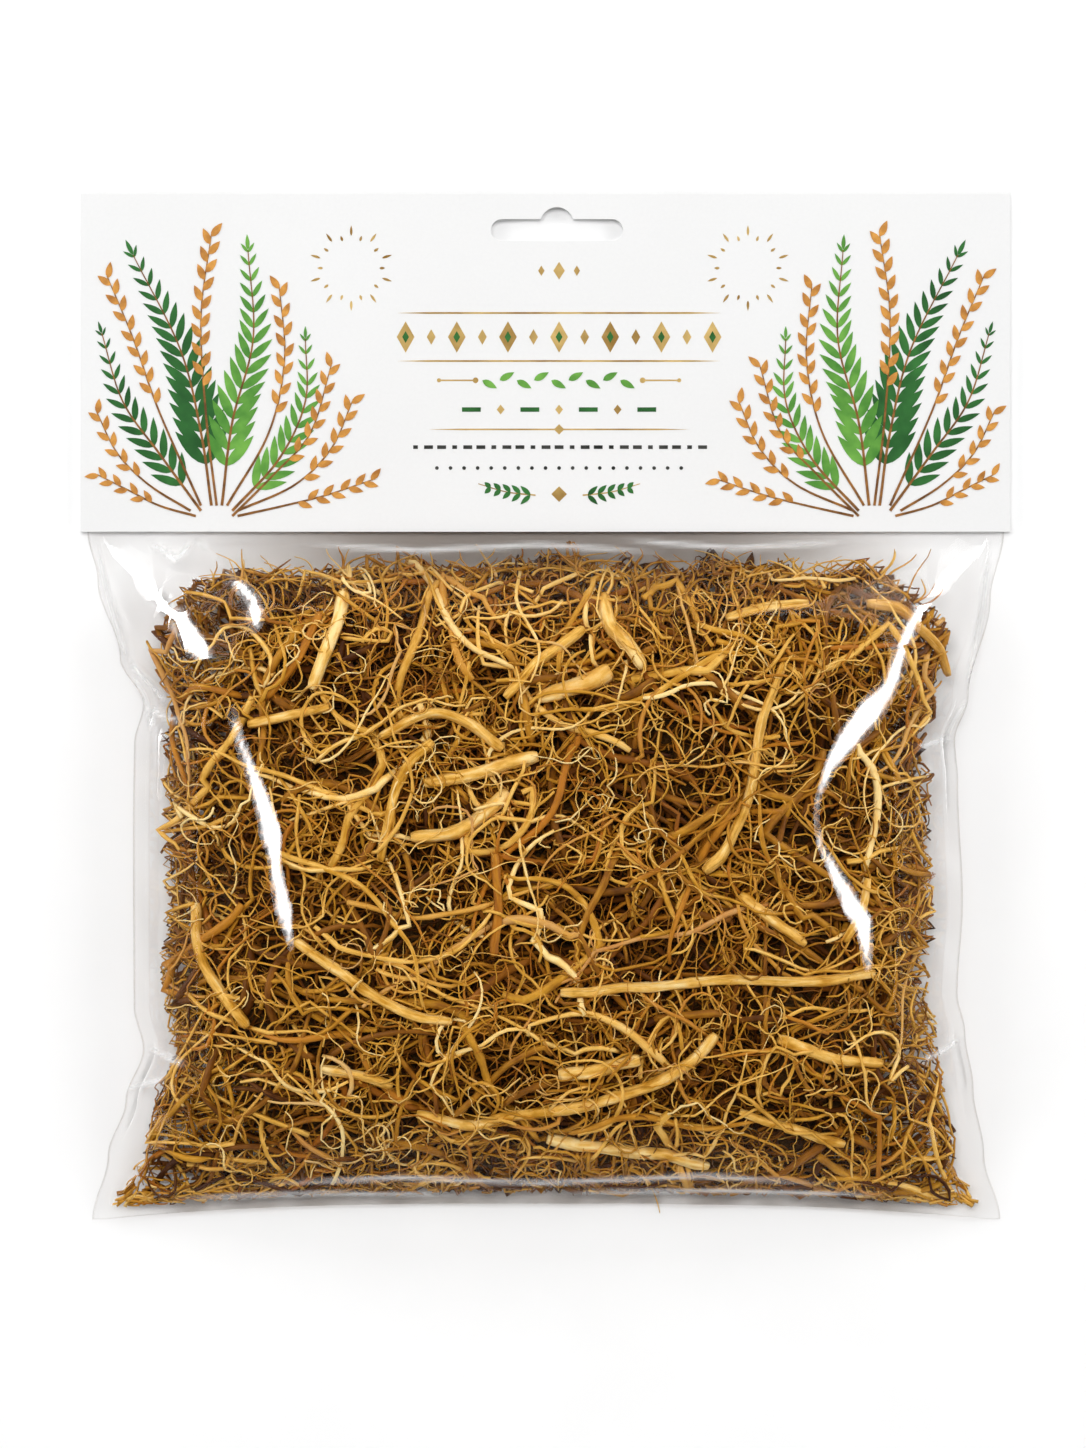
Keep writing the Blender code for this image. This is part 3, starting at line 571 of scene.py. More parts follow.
def side_rootlets(strands, rng, plan, swing, depth, side, tone, rust):
    """Thin roots that leave a thick piece at a slant."""
    steps = len(plan)
    count = max(2, steps // 11)
    at = rng.integers(2, steps - 2, count)
    lean = np.arctan2(swing[at, 1], swing[at, 0])
    heading = lean + rng.choice((-1, 1), count) * rng.uniform(0.5, 1.4, count)
    bend = rng.normal(0, 90, count)
    runs = [plan[at]]
    for _ in range(ROOTLET_STEPS - 1):
        bend = 0.7 * bend + rng.normal(0, 70, count)
        heading = heading + bend * ROOTLET_STRIDE
        runs.append(runs[-1] + ROOTLET_STRIDE * np.column_stack([np.cos(heading), np.sin(heading)]))
    runs = np.stack(runs, axis=1)
    thin = rng.uniform(0.20, 0.38, count) * MM
    fall = np.linspace(0, 1, ROOTLET_STEPS)[None] * rng.uniform(-1.0, 2.0, count)[:, None] * MM
    deep = np.maximum(depth[at][:, None] + fall, thin[:, None] + 0.3 * MM)
    inside = np.clip(across_of(runs[..., 0], runs[..., 1]), -RIM, RIM)
    runs[..., 0] = x_of(inside, runs[..., 1])
    runs[..., 1] = np.minimum(runs[..., 1], STRAY_TOP_Y)
    heights = under_film(runs[..., 0], runs[..., 1], side, deep)
    strands.sweep(
        np.concatenate([runs, heights[..., None]], axis=2),
        thin[:, None] * np.linspace(1.0, 0.35, ROOTLET_STEPS)[None], 4,
        np.full((count, 1), tone), np.full((count, 1), rust), rng.uniform(0, 6, count),
    )


def thick_root(rng, name, start, end, route, side, material):
    """A ridged, slightly crooked piece with knots, blunt broken ends and a few side rootlets."""
    plan = smooth_route(route, THICK_STEP)
    steps = len(plan)
    swing = np.gradient(plan, axis=0)
    swing /= np.linalg.norm(swing, axis=1, keepdims=True)
    plan += swing[:, ::-1] * (-1, 1) * (slow_noise(rng, steps, 7) * 0.22 * MM)[:, None]
    radii = np.linspace(start, end, steps) * MM
    depth = radii + SUNK + np.abs(slow_noise(rng, steps, 12)) * 0.15 * MM
    z = under_film(plan[:, 0], plan[:, 1], side, depth)
    path = np.column_stack([plan, z])
    girth = 1 + 0.05 * slow_noise(rng, steps, 4)
    tone_shift = 0.05 * slow_noise(rng, steps, 6)
    for _ in range(max(1, steps // 13)):
        knot = rng.uniform(0, steps)
        near = np.exp(-((np.arange(steps) - knot) / 1.1) ** 2)
        girth += rng.uniform(0.06, 0.16) * near
        tone_shift -= 0.09 * near
    girth[:3] *= (0.70, 0.93, 1.0)
    girth[-3:] *= (1.0, 0.93, 0.70)
    around = np.arange(THICK_SIDES)
    ridges = 0.07 * np.cos(around * 2 * math.pi * RIDGES / THICK_SIDES + rng.uniform(0, 6))
    drift = np.array([slow_noise(rng, steps, 10) for _ in around]).T
    shape = 1 + ridges[None] + 0.075 * drift
    shape[0] *= 1 + rng.uniform(-0.15, 0.15, THICK_SIDES)
    shape[-1] *= 1 + rng.uniform(-0.15, 0.15, THICK_SIDES)
    tone, rust = PIECE_COLOURS.get(name, OTHER_COLOUR)
    strands = Strands()
    strands.sweep(
        path[None], (radii * girth)[None], THICK_SIDES, (tone + tone_shift)[None],
        np.full((1, steps), rust), rng.uniform(0, 6, 1), shape[None],
    )
    side_rootlets(strands, rng, plan, swing, depth, side, tone - 0.08, rust)
    place_piece(strands.piece("root_" + name, material), "thick_root", name)
    return path, radii


def make_thick_roots():
    rng = np.random.default_rng(SEED)
    material = dry_root("thick_dry_root", 0.95, 0.22 * MM)
    laid = {1: [], -1: []}
    for side, pieces in ((1, FRONT_PIECES), (-1, BACK_PIECES)):
        for name, start, end, route in pieces:
            path, radii = thick_root(rng, name, start, end, route, side, material)
            laid[side].append(np.column_stack([path, radii]))
    return {side: np.vstack(rows) for side, rows in laid.items()}


# Fine roots

# The top of the fill, as (x, y) in millimetres: its upper corners are rounded off
FILL_TOP = [(-80.0, 6.0), (-76.0, 14.0), (-71.0, 19.5), (-63.0, 23.5), (-45.0, 25.0), (0.0, 26.5),
            (45.0, 25.5), (64.0, 24.5), (72.0, 20.0), (77.0, 14.0), (81.0, 6.0)]
CLEAR = 0.35 * MM


def fill_top(x):
    xs, ys = np.array(FILL_TOP).T * MM
    waves = 0.8 * np.sin(x / (5.1 * MM) + 1.0) + 0.6 * np.sin(x / (2.3 * MM))
    return np.interp(x, xs, ys) + waves * MM


# A kind of fine root: how many, how many points each and how far apart, how many sides, the
# range of its radius in mm, how curly it is and how often it kinks
Kind = namedtuple("Kind", "count steps stride sides radius curl kink")
STOUT = Kind(170, 24, 2.0 * MM, 6, (0.55, 0.95), 0.06, 0.10)
STRAY = Kind(130, 11, 1.0 * MM, 4, (0.20, 0.42), 0.08, 0.0)
CRUMB = Kind(420, 5, 0.9 * MM, 3, (0.20, 0.55), 0.16, 0.10)
MIDDLING = Kind(950, 18, 1.9 * MM, 4, (0.30, 0.54), 0.12, 0.15)
WIRY = Kind(1500, 18, 1.15 * MM, 3, (0.16, 0.29), 0.36, 0.22)
BEHIND_THIN = Kind(560, 15, 1.9 * MM, 3, (0.24, 0.40), 0.18, 0.15)
BEHIND_THICK = Kind(330, 14, 2.6 * MM, 4, (0.40, 0.70), 0.08, 0.08)
RIM_THIN = Kind(700, 15, 1.6 * MM, 3, (0.20, 0.38), 0.20, 0.08)
RIM_THICK = Kind(220, 14, 2.4 * MM, 4, (0.38, 0.62), 0.08, 0.08)


def scatter(rng, count, side, edge_share=0.2):
    """Start points spread evenly over the film's own surface, thinner towards its edges."""
    tries = count * 8
    across = rng.uniform(-RIM, RIM, tries)
    low = cavity_bottom(across) + 1.5 * MM
    y = low + rng.uniform(0, 1, tries) * (CARD_EDGE_Y - 5 * MM - low)
    x = x_of(across, y)
    weight = tilt(x, y, side)
    weight *= 1 - (1 - edge_share) * smoothstep((np.abs(across) - 0.80) / 0.15)
    weight *= np.where(y < fill_top(x), 1.0, 0.0)
    picked = rng.choice(tries, count, replace=False, p=weight / weight.sum())
    return x[picked], y[picked]


def first_heading(rng, x, y, level=1.0):
    """Across the bag near its bottom, every way near the card."""
    share = np.clip((y - BAG_CORNER_Y) / (CARD_EDGE_Y - BAG_CORNER_Y), 0, 1)
    heading = rng.normal(0, 1, len(x)) * (0.30 + 1.6 * share**1.3) * level
    return heading + math.pi * rng.integers(0, 2, len(x))


def wander(rng, kind, x, y, heading, side):
    """Plan paths of wiry roots that turn back at the ragged rim of the fill."""
    count, steps, stride, _, _, curl, kink = kind
    middle_y = (BAG_CORNER_Y + CARD_EDGE_Y) / 2
    bend = rng.normal(0, curl, count)
    found = [np.column_stack([x, y])]
    slack = np.abs(rng.normal(0, 1.5, count)) * MM
    rim = rng.uniform(0.93, RIM, count)
    foot = rng.uniform(0.3, 1.6, count) * MM
    for _ in range(steps - 1):
        bend = 0.72 * bend + rng.normal(0, 0.62 * curl, count)
        heading = heading + bend * stride / MM
        heading += (rng.random(count) < kink) * rng.normal(0, 0.9, count)
        move = stride / tilt(x, y, side) ** 0.8
        nx, ny = x + move * np.cos(heading), y + move * np.sin(heading)
        across = across_of(nx, ny)
        out = (np.abs(across) > rim) | (ny > fill_top(nx) + slack)
        out |= ny < cavity_bottom(across) + foot
        inward = np.arctan2(middle_y - y, -x)
        turn = (inward - heading + math.pi) % (2 * math.pi) - math.pi
        heading = np.where(out, heading + 0.8 * turn, heading)
        nx, ny = x + move * np.cos(heading), y + move * np.sin(heading)
        ny = np.clip(ny, cavity_bottom(across) + 0.4 * MM, STRAY_TOP_Y)
        x = x_of(np.clip(across_of(nx, ny), -RIM, RIM), ny)
        y = ny
        found.append(np.column_stack([x, y]))
    return np.stack(found, axis=1)


def duck_under(path, radii, thick, side, over):
    """Moves strands off the thick pieces: most pass below them, some across the top."""
    flat = path.reshape(-1, 3)
    radius = radii.ravel()
    over = np.repeat(over, path.shape[1])
    for first in range(0, len(flat), 4000):
        part = slice(first, first + 4000)
        spot = flat[part]
        gap = np.hypot(spot[:, None, 0] - thick[None, :, 0], spot[:, None, 1] - thick[None, :, 1])
        gap -= thick[None, :, 3]
        nearest = np.argmin(gap, axis=1)
        near = gap[np.arange(len(spot)), nearest] < radius[part] + 0.3 * MM
        row = thick[nearest]
        below = side * row[:, 2] - row[:, 3] - radius[part]
        above = side * row[:, 2] + row[:, 3] * 0.9 + radius[part] * 0.6
        height = side * spot[:, 2]
        height = np.where(near & ~over[part], np.minimum(height, below), height)
        height = np.where(near & over[part], above, height)
        spot[:, 2] = side * height
    return flat.reshape(path.shape)


def weave(rng, plan, radii, side, deep, swing):
    """Heights for plan paths that weave in depth under one face of the film."""
    count, steps, _ = plan.shape
    run = np.arange(steps)[None]
    wave = np.sin(run * rng.uniform(0.25, 0.75, count)[:, None] + rng.uniform(0, 6, count)[:, None])
    depth = deep[:, None] + swing[:, None] * wave
    depth = np.maximum(depth, 0) + CLEAR + radii
    z = under_film(plan[..., 0], plan[..., 1], side, depth)
    return np.concatenate([plan, z[..., None]], axis=2)


def tones(rng, count, pale=0.0):
    """Each root's own tone and rust: mostly golden, some tan, a few dark or red-brown."""
    tone = np.clip(rng.normal(0.66 + pale, 0.13, count), 0.25, 0.98)
    rust = np.where(rng.random(count) < 0.2, rng.uniform(0.3, 0.9, count), rng.uniform(0, 0.15, count))
    return tone[:, None], rust[:, None]


def face_layer(strands, rng, thick, side, kind, deepest, parents=None):
    """Roots under one face. Where parents are given, most of them branch off those."""
    count, steps = kind.count, kind.steps
    x, y = scatter(rng, count, side)
    heading = first_heading(rng, x, y)
    branch = np.zeros(count, bool)
    if parents is not None:
        branch = rng.random(count) < 0.6
        row = rng.integers(0, len(parents), count)
        spot = rng.integers(1, parents.shape[1] - 2, count)
        fork, after = parents[row, spot], parents[row, spot + 1]
        x, y = np.where(branch, fork[:, 0], x), np.where(branch, fork[:, 1], y)
        along = np.arctan2(after[:, 1] - fork[:, 1], after[:, 0] - fork[:, 0])
        along += rng.choice((-1, 1), count) * rng.uniform(0.4, 1.1, count)
        heading = np.where(branch, along, heading)
    plan = wander(rng, kind, x, y, heading, side)
    thin = rng.uniform(*kind.radius, count) * MM
    taper = np.interp(np.linspace(0, 1, steps), (0, 0.08, 0.5, 1), (0.8, 1.0, 0.9, 0.4))
    radii = thin[:, None] * taper * (1 + rng.normal(0, 0.07, (count, steps)))
    deep = deepest * rng.random(count) ** 1.25
    path = weave(rng, plan, radii, side, deep, rng.uniform(0.2, 1.4, count) * MM)
    if parents is not None:
        leave = np.minimum(np.arange(steps) / 4, 1)[None]
        joined = fork[:, 2:] + (path[..., 2] - fork[:, 2:]) * leave
        path[..., 2] = np.where(branch[:, None], joined, path[..., 2])
    over = (rng.random(count) < 0.6) & (thin < 0.5 * MM) & (deep < 0.12 * deepest)
    path = duck_under(path, radii, thick[side], side, over)
    tone, rust = tones(rng, count)
    # Painted shade: the deeper a root lies under the others, the darker its tone
    tone = tone + 0.23 - 1.15 * (deep[:, None] / deepest) ** 0.55
    strands.sweep(path, radii, kind.sides, tone, rust, rng.uniform(0, 6, count))
    return path


def tapering(rng, kind, tip):
    """Radii of a kind's roots, which thin evenly towards their tips."""
    thin = rng.uniform(*kind.radius, kind.count) * MM
    return thin[:, None] * np.linspace(1, tip, kind.steps)[None]


def between_sheets(strands, rng, kind, plan, radii, level, spare, pale):
    """Adds roots whose level runs from -1 at the back film to 1 at the front one."""
    centre, half = room(plan[..., 0], plan[..., 1])
    z = centre + level * np.maximum(0, half - radii - spare)
    tone, rust = tones(rng, kind.count, pale)
    path = np.concatenate([plan, z[..., None]], axis=2)
    strands.sweep(path, radii, kind.sides, tone, rust, rng.uniform(0, 6, kind.count))


def inner_layer(strands, rng, kind, reach):
    """Roots that fill the bag's whole depth round its rim, where the film is seen side on."""
    count = kind.count
    turn = rng.uniform(0, 2 * math.pi, count)
    across, along = np.cos(turn), np.sin(turn)
    square = np.maximum(np.abs(across), np.abs(along))
    share = rng.uniform(*reach, count)
    low = cavity_bottom(across) + 1.5 * MM
    high = fill_top(across / square * 78 * MM)
    middle, half_run = (high + low) / 2, (high - low) / 2
    y = middle + share * along / square * half_run
    x = x_of(share * across / square * RIM, y)
    plan = wander(rng, kind, x, y, first_heading(rng, x, y, 1.3), 1)
    radii = tapering(rng, kind, 0.45)
    wave = np.sin(np.arange(kind.steps)[None] * 0.4 + rng.uniform(0, 6, count)[:, None])
    level = np.clip(rng.uniform(-0.95, 0.95, count)[:, None] + 0.25 * wave, -1, 1)
    between_sheets(strands, rng, kind, plan, radii, level, 1.5 * CLEAR, -0.05)


def stray_tips(strands, rng):
    """Single roots that stick up out of the fill towards the card."""
    count = STRAY.count
    x = rng.uniform(-68, 72, count) * MM
    y = fill_top(x) - 2 * MM
    stride = STRAY.stride * rng.uniform(0.7, 1.35, count)
    heading = rng.uniform(0.5, math.pi - 0.5, count)
    bend = rng.normal(0, STRAY.curl, count)
    found = [np.column_stack([x, y])]
    for _ in range(STRAY.steps - 1):
        bend = 0.7 * bend + rng.normal(0, 0.09, count)
        heading = heading + bend * stride / MM
        x, y = x + stride * np.cos(heading), y + stride * np.sin(heading) * 0.55
        y = np.minimum(y, STRAY_TOP_Y)
        x = x_of(np.clip(across_of(x, y), -0.95, 0.95), y)
        found.append(np.column_stack([x, y]))
    plan = np.stack(found, axis=1)
    radii = tapering(rng, STRAY, 0.35)
    path = weave(rng, plan, radii, 1, rng.uniform(0, 3, count) * MM, rng.uniform(0, 0.6, count) * MM)
    tone, rust = tones(rng, count)
    strands.sweep(path, radii, STRAY.sides, tone, rust, rng.uniform(0, 6, count))


def crumbs(strands, rng):
    """Broken bits that have sifted down to the bottom seal and into its corners."""
    count = CRUMB.count
    across = np.sign(rng.uniform(-1, 1, count)) * rng.uniform(0, 1, count) ** 0.6 * 0.99
    y = cavity_bottom(across) + 0.8 * MM + rng.exponential(2.0, count) * MM
    x = x_of(across, y)
    plan = wander(rng, CRUMB, x, y, first_heading(rng, x, y), 1)
    radii = tapering(rng, CRUMB, 0.5)
    level = rng.uniform(-0.9, 0.9, count)[:, None]
    between_sheets(strands, rng, CRUMB, plan, radii, level, CLEAR, -0.04)


def make_fine_roots(thick):
    rng = np.random.default_rng(SEED + 1)
    material = dry_root("fine_dry_root", 0.40, 0.0)
    stout, middling, behind, rim = Strands(), Strands(), Strands(), Strands()

    def finished(strands, name):
        place_piece(strands.piece(name, material), "fine_root", "root_tangle")

    face_layer(stout, rng, thick, 1, STOUT, 3 * MM)
    stray_tips(stout, rng)
    crumbs(stout, rng)
    finished(stout, "stout_roots")
    parents = face_layer(middling, rng, thick, 1, MIDDLING, 7 * MM)
    finished(middling, "middling_roots")
    for number in (1, 2):
        wiry = Strands()
        face_layer(wiry, rng, thick, 1, WIRY, 6 * MM, parents)
        finished(wiry, f"wiry_roots_{number}")
    face_layer(behind, rng, thick, -1, BEHIND_THIN, 5 * MM)
    face_layer(behind, rng, thick, -1, BEHIND_THICK, 6 * MM)
    finished(behind, "roots_behind")
    inner_layer(rim, rng, RIM_THIN, (0.76, 0.99))
    inner_layer(rim, rng, RIM_THICK, (0.70, 0.96))
    finished(rim, "rim_roots")


HEART_REACH_X = 0.82
HEART_MIDDLE_Y = -37.0 * MM
HEART_HALF_LENGTH = 52.0 * MM
HEART_SHARE = 0.52
SQUARENESS = 4.0


def make_heart():
    """A lumpy cushion inside the tangle, which stops light passing straight through; its near-black
    colour is painted shade.
    """
    bpy.ops.mesh.primitive_ico_sphere_add(subdivisions=6, radius=1.0)
    heart = bpy.context.object
    heart.name = "shade_heart_body"
    co = points_of(heart)
    co /= np.sum(np.abs(co) ** SQUARENESS, axis=1, keepdims=True) ** (1 / SQUARENESS)
    y = HEART_MIDDLE_Y + co[:, 1] * HEART_HALF_LENGTH
    x = x_of(co[:, 0] * HEART_REACH_X, y)
    middle, half = room(x, y)
    lumps = np.array([noise.turbulence(Vector((px, py, pz)) * 9, 3, False)
                      for px, py, pz in co.tolist()])
    level = co[:, 2] * HEART_SHARE * (0.86 + 0.28 * lumps)
    placed = np.column_stack([x, y, middle + level * half])
    heart.data.vertices.foreach_set("co", placed.ravel())
    heart.data.shade_smooth()
    heart.data.materials.append(shade_heart())
    place_piece(heart, "fine_root", "root_tangle")


# Film bag

FILM_COLUMNS = 232
FILM_ROWS = 196
BAND = 0.045
FLAP_SHARE = 0.05
FLAP_LENGTH = 14.0 * MM
SHEET_GAP = 0.04 * MM
# The welds hold the film flat this near to them, and it is slack near both ends
HELD_ACROSS = 0.05
HELD_UP = 0.03
SLACK_END = 12 * MM
SLACK_FADE = 8 * MM
# Painted shade on the film under the card and along its welded edge
NECK_SHADE = 0.44
EDGE_SHADE = 0.22
# Strength of the painted white highlight along the crease lines
CREASE_PAINTED_HIGHLIGHT = 0.5
# The front film stays straight from KINK_START to a fold at KINK, and turns down there
KINK_START = 0.76
KINK = 0.87
KINK_FALL = 4.1

# Where the creases throw the side lights: the camera's place, rounded
EYE = (-0.0005, -0.0038, 0.927)
# Small lights seen only in the gloss: place, long side and short side
SIDE_LIGHTS = {
    "left_strip": ((-0.98, 0.25, 0.52), 2.20, 0.22),
    "right_strip": ((0.98, 0.35, 0.52), 2.60, 0.22),
    "left_card": ((-0.80, 0.85, 0.50), 1.30, 0.40),
    "right_card": ((0.80, 0.85, 0.50), 1.30, 0.40),
}
# Each gleam is a painted highlight: a mask that raises the film's mirror share along a facet tilted to
# mirror a side light
# Gleaming creases: the light that each catches, its widths in mm along it, and its course in the
# photograph's pixels
PAINTED_GLEAMS = {
    "upper_left": ("left_card", (0.2, 1.0, 2.4, 4.4, 4.2, 0.3),
                   [(98, 541), (130, 572), (162, 606), (192, 638), (210, 664)]),
    "upper_left_line": ("left_card", (0.4, 0.6, 0.7, 0.6),
                        [(193, 539), (215, 561), (238, 585), (253, 600)]),
    "upper_left_spark": ("left_card", (0.5, 1.9, 0.5), [(252, 602), (255, 612), (256, 626)]),
    "long_left": ("left_strip", (0.1, 0.9, 1.4, 2.6, 3.4, 1.6, 1.8, 2.5, 0.1),
                  [(231, 712), (244, 750), (257, 783), (271, 822), (275, 848), (278, 874),
                   (284, 903), (293, 948)]),
    "upper_right": ("right_card", (0.2, 0.7, 1.3, 1.5, 1.5),
                    [(991, 543), (960, 570), (924, 609), (913, 625), (905, 643)]),
    "long_right": ("right_strip", (1.4, 1.6, 2.2, 4.1, 3.2, 1.5, 0.2),
                   [(907, 637), (901, 657), (890, 687), (870, 711), (846, 741), (828, 767),
                    (818, 797)]),
    "right_turn": ("right_strip", (0.1, 0.2, 0.4, 1.3, 3.2),
                   [(816, 800), (815, 822), (818, 843), (832, 870), (852, 908)]),
    "right_foot": ("right_strip", (3.2, 3.0, 1.4, 0.2), [(850, 905), (862, 921), (866, 944), (868, 968)]),
    "left_fold_top": ("left_strip", (0.3, 1.2, 0.3), [(140, 700), (152, 740), (150, 800)]),
    "right_fold_top": ("right_strip", (0.3, 1.2, 0.3), [(962, 705), (950, 745), (955, 810)]),
    "left_fold_foot": ("left_strip", (0.3, 1.2, 0.3), [(150, 1050), (136, 1085), (120, 1135)]),
    "right_fold_foot": ("right_strip", (0.3, 1.2, 0.3), [(962, 1040), (974, 1085), (988, 1150)]),
}
FILM_MIDDLE = 0.7 * BAG_HEIGHT
FACET_POINTS = 60
FACET_SMOOTHING = 12
FACET_TILT_MOST = 1.1
FACET_FADE = 6.0 * MM
FACET_END_FADE = 2.5 * MM
FACET_MARGIN = 1.2 * MM
# The soft edge of the painted highlight mask, and the faint painted halo of reflection round each gleam
GLEAM_EDGE = 0.9 * MM
GLEAM_SPREAD = 0.35
HALO = 0.10
HALO_WIDTH = 3.0 * MM
# Sharp small creases: height mm, half width mm, course in pixels
CREASES = [
    (0.5, 1.3, [(96, 540), (108, 590), (122, 640), (132, 668)]),
    (0.7, 1.3, [(128, 660), (150, 682), (172, 705)]),
    (0.6, 1.1, [(133, 672), (148, 700), (156, 735)]),
    (0.6, 1.2, [(148, 706), (166, 716), (186, 722)]),
    (0.6, 1.3, [(988, 545), (982, 600), (972, 655), (965, 697)]),
    (0.7, 1.2, [(966, 698), (950, 722), (938, 752)]),
    (0.5, 1.2, [(954, 735), (930, 742), (912, 748)]),
    (0.7, 1.2, [(148, 1046), (168, 1052), (190, 1060)]),
    (0.6, 1.2, [(128, 1088), (150, 1080), (170, 1074)]),
    (0.7, 1.2, [(960, 1038), (940, 1046), (918, 1056)]),
    (0.6, 1.5, [(300, 545), (420, 552), (540, 546), (660, 554)]),
    (0.6, 1.5, [(620, 541), (730, 549), (850, 543)]),
    (0.6, 1.2, [(150, 542), (180, 560), (196, 540)]),
    (0.5, 1.6, [(260, 1180), (400, 1172), (540, 1178), (700, 1170), (830, 1180)]),
    (0.4, 1.3, [(180, 1196), (320, 1190), (470, 1193)]),
    (0.4, 1.3, [(560, 1190), (720, 1187), (880, 1192)]),
]


def side_distance(x, y, points):
    """Distance to a course of points, and how far along it, from 0 to 1."""
    lengths = np.linalg.norm(np.diff(points, axis=0), axis=1)
    starts = np.concatenate([[0], np.cumsum(lengths)])
    best = np.full(x.shape, 1e9)
    run = np.zeros_like(x)
    for a, b, start, length in zip(points, points[1:], starts, lengths):
        t = ((x - a[0]) * (b[0] - a[0]) + (y - a[1]) * (b[1] - a[1])) / length**2
        t = np.clip(t, 0, 1)
        gap = np.hypot(x - a[0] - t * (b[0] - a[0]), y - a[1] - t * (b[1] - a[1]))
        closer = gap < best
        best = np.where(closer, gap, best)
        run = np.where(closer, (start + t * length) / starts[-1], run)
    return best, run


def crease_height(x, y):
    """Tent-shaped ridges along each small crease, fading towards its ends, and their lines, which carry a
    painted white highlight and are left free of painted shade.
    """
    total = np.zeros_like(x)
    lines = np.zeros_like(x)
    for height, width, pixels in CREASES:
        gap, run = side_distance(x, y, np.array(from_pixels(pixels)))
        tent = np.clip(1 - gap / (width * MM), 0, 1) ** 1.3
        fade = np.clip(np.sin(math.pi * np.clip(run, 0.02, 0.98)) * 1.8, 0, 1)
        total += height * MM * tent * fade
        lines = np.maximum(lines, np.clip(1 - gap / (0.8 * MM), 0, 1) * fade)
    return total, lines


def ripple(rng, x, y, wave_mm, count=14):
    """A cheap smooth random field of about unit size."""
    total = np.zeros_like(x)
    for _ in range(count):
        angle = rng.uniform(0, 2 * math.pi)
        pace = 2 * math.pi / (wave_mm * MM * rng.uniform(0.7, 1.5))
        total += np.sin(pace * (x * math.cos(angle) + y * math.sin(angle)) + rng.uniform(0, 6))
    return total / math.sqrt(count)


def film_z(across, y):
    """Height of the front film before its creases, with the fold along each side."""
    a = np.abs(across)
    side = side_profile(a)
    start = side_profile(KINK_START)
    slope = -SIDE_ROUNDNESS * SIDE_FULLNESS * start * KINK_START ** (SIDE_FULLNESS - 1)
    slope /= 1 - KINK_START**SIDE_FULLNESS
    flat = start + slope * (np.minimum(a, KINK) - KINK_START) - KINK_FALL * np.maximum(a - KINK, 0)
    folded = np.where(a > KINK_START, np.maximum(side, flat), side)
    seam = read_curve(SEAM_HEIGHT, y) + HALF_FLAP
    return seam + (front_z(across, y) - seam) * folded / np.maximum(side, 1e-6)


def on_film(pixels):
    """Points of the film, at about its middle height, that the camera sees at these pixels."""
    return np.array(from_pixels(pixels)) * (1 - FILM_MIDDLE / EYE[2])


def towards(place, route):
    """Unit vectors from points of the film at about its middle height to a place."""
    ways = np.array(place) - np.column_stack([route, np.full(len(route), FILM_MIDDLE)])
    return ways / np.linalg.norm(ways, axis=1, keepdims=True)


def gleam_line(light, pixels):
    """A gleam's course, the way across it, and the extra slope there that mirrors its light."""
    points = on_film(pixels)
    fine = np.linspace(0, len(points) - 1, FACET_POINTS)
    steps = np.arange(len(points))
    route = np.column_stack([np.interp(fine, steps, points[:, i]) for i in (0, 1)])
    for _ in range(FACET_SMOOTHING):
        route[1:-1] = (route[:-2] + 2 * route[1:-1] + route[2:]) / 4
    ahead = np.gradient(route, axis=0)
    ahead /= np.linalg.norm(ahead, axis=1, keepdims=True)
    normal = np.column_stack([-ahead[:, 1], ahead[:, 0]])
    normal *= np.sign(normal[:, :1])
    half = towards(SIDE_LIGHTS[light][0], route) + towards(EYE, route)
    slope_x, _ = slopes(lambda px, py: film_z(across_of(px, py), py), *route.T, 0.4 * MM)
    turn = (-half[:, 0] / half[:, 2] - slope_x) / normal[:, 0]
    return route, normal, np.clip(turn, -FACET_TILT_MOST, FACET_TILT_MOST)


def facets(x, y):
    """Creases tilted to mirror a side light, each fading back into the film beside it, and the
    painted highlight mask (gleam) on them, with a faint painted halo round each.
    """
    total, weight, gleam = np.zeros_like(x), np.zeros_like(x), np.zeros_like(x)
    for light, widths, pixels in PAINTED_GLEAMS.values():
        route, normal, turn = gleam_line(light, pixels)
        gap = (x[:, None] - route[:, 0]) ** 2 + (y[:, None] - route[:, 1]) ** 2
        nearest = np.argmin(gap, axis=1)
        gap = np.min(gap, axis=1)
        off = (x - route[nearest, 0]) * normal[nearest, 0]
        off += (y - route[nearest, 1]) * normal[nearest, 1]
        share = nearest / (FACET_POINTS - 1)
        width = np.interp(share, np.linspace(0, 1, len(widths)), widths) * MM / 2
        beyond = np.sqrt(np.maximum(gap - off**2, 0))
        # Painted highlight mask: a clear core along each gleam and a faint painted halo round it
        shown = np.clip((width - np.sqrt(gap)) / GLEAM_EDGE + GLEAM_SPREAD, 0, 1)
        halo = HALO * (1 - smoothstep((np.sqrt(gap) - width) / HALO_WIDTH))
        gleam = np.maximum(gleam, np.maximum(shown, halo))
        width = width + FACET_MARGIN
        fade = 1 - smoothstep((np.abs(off) - width) / FACET_FADE)
        fade *= 1 - smoothstep(beyond / FACET_END_FADE)
        total += turn[nearest] * np.clip(off, -width, width) * fade
        weight += fade
    return total / np.maximum(weight, 1), gleam


def calm(x, y):
    """0 on a facet and 1 away from them all, so that ripples leave the facets smooth."""
    least = np.full(x.shape, 1e9)
    for _, _, pixels in PAINTED_GLEAMS.values():
        gap, _ = side_distance(x, y, on_film(pixels))
        least = np.minimum(least, gap)
    return smoothstep((least - 2 * MM) / (4 * MM))


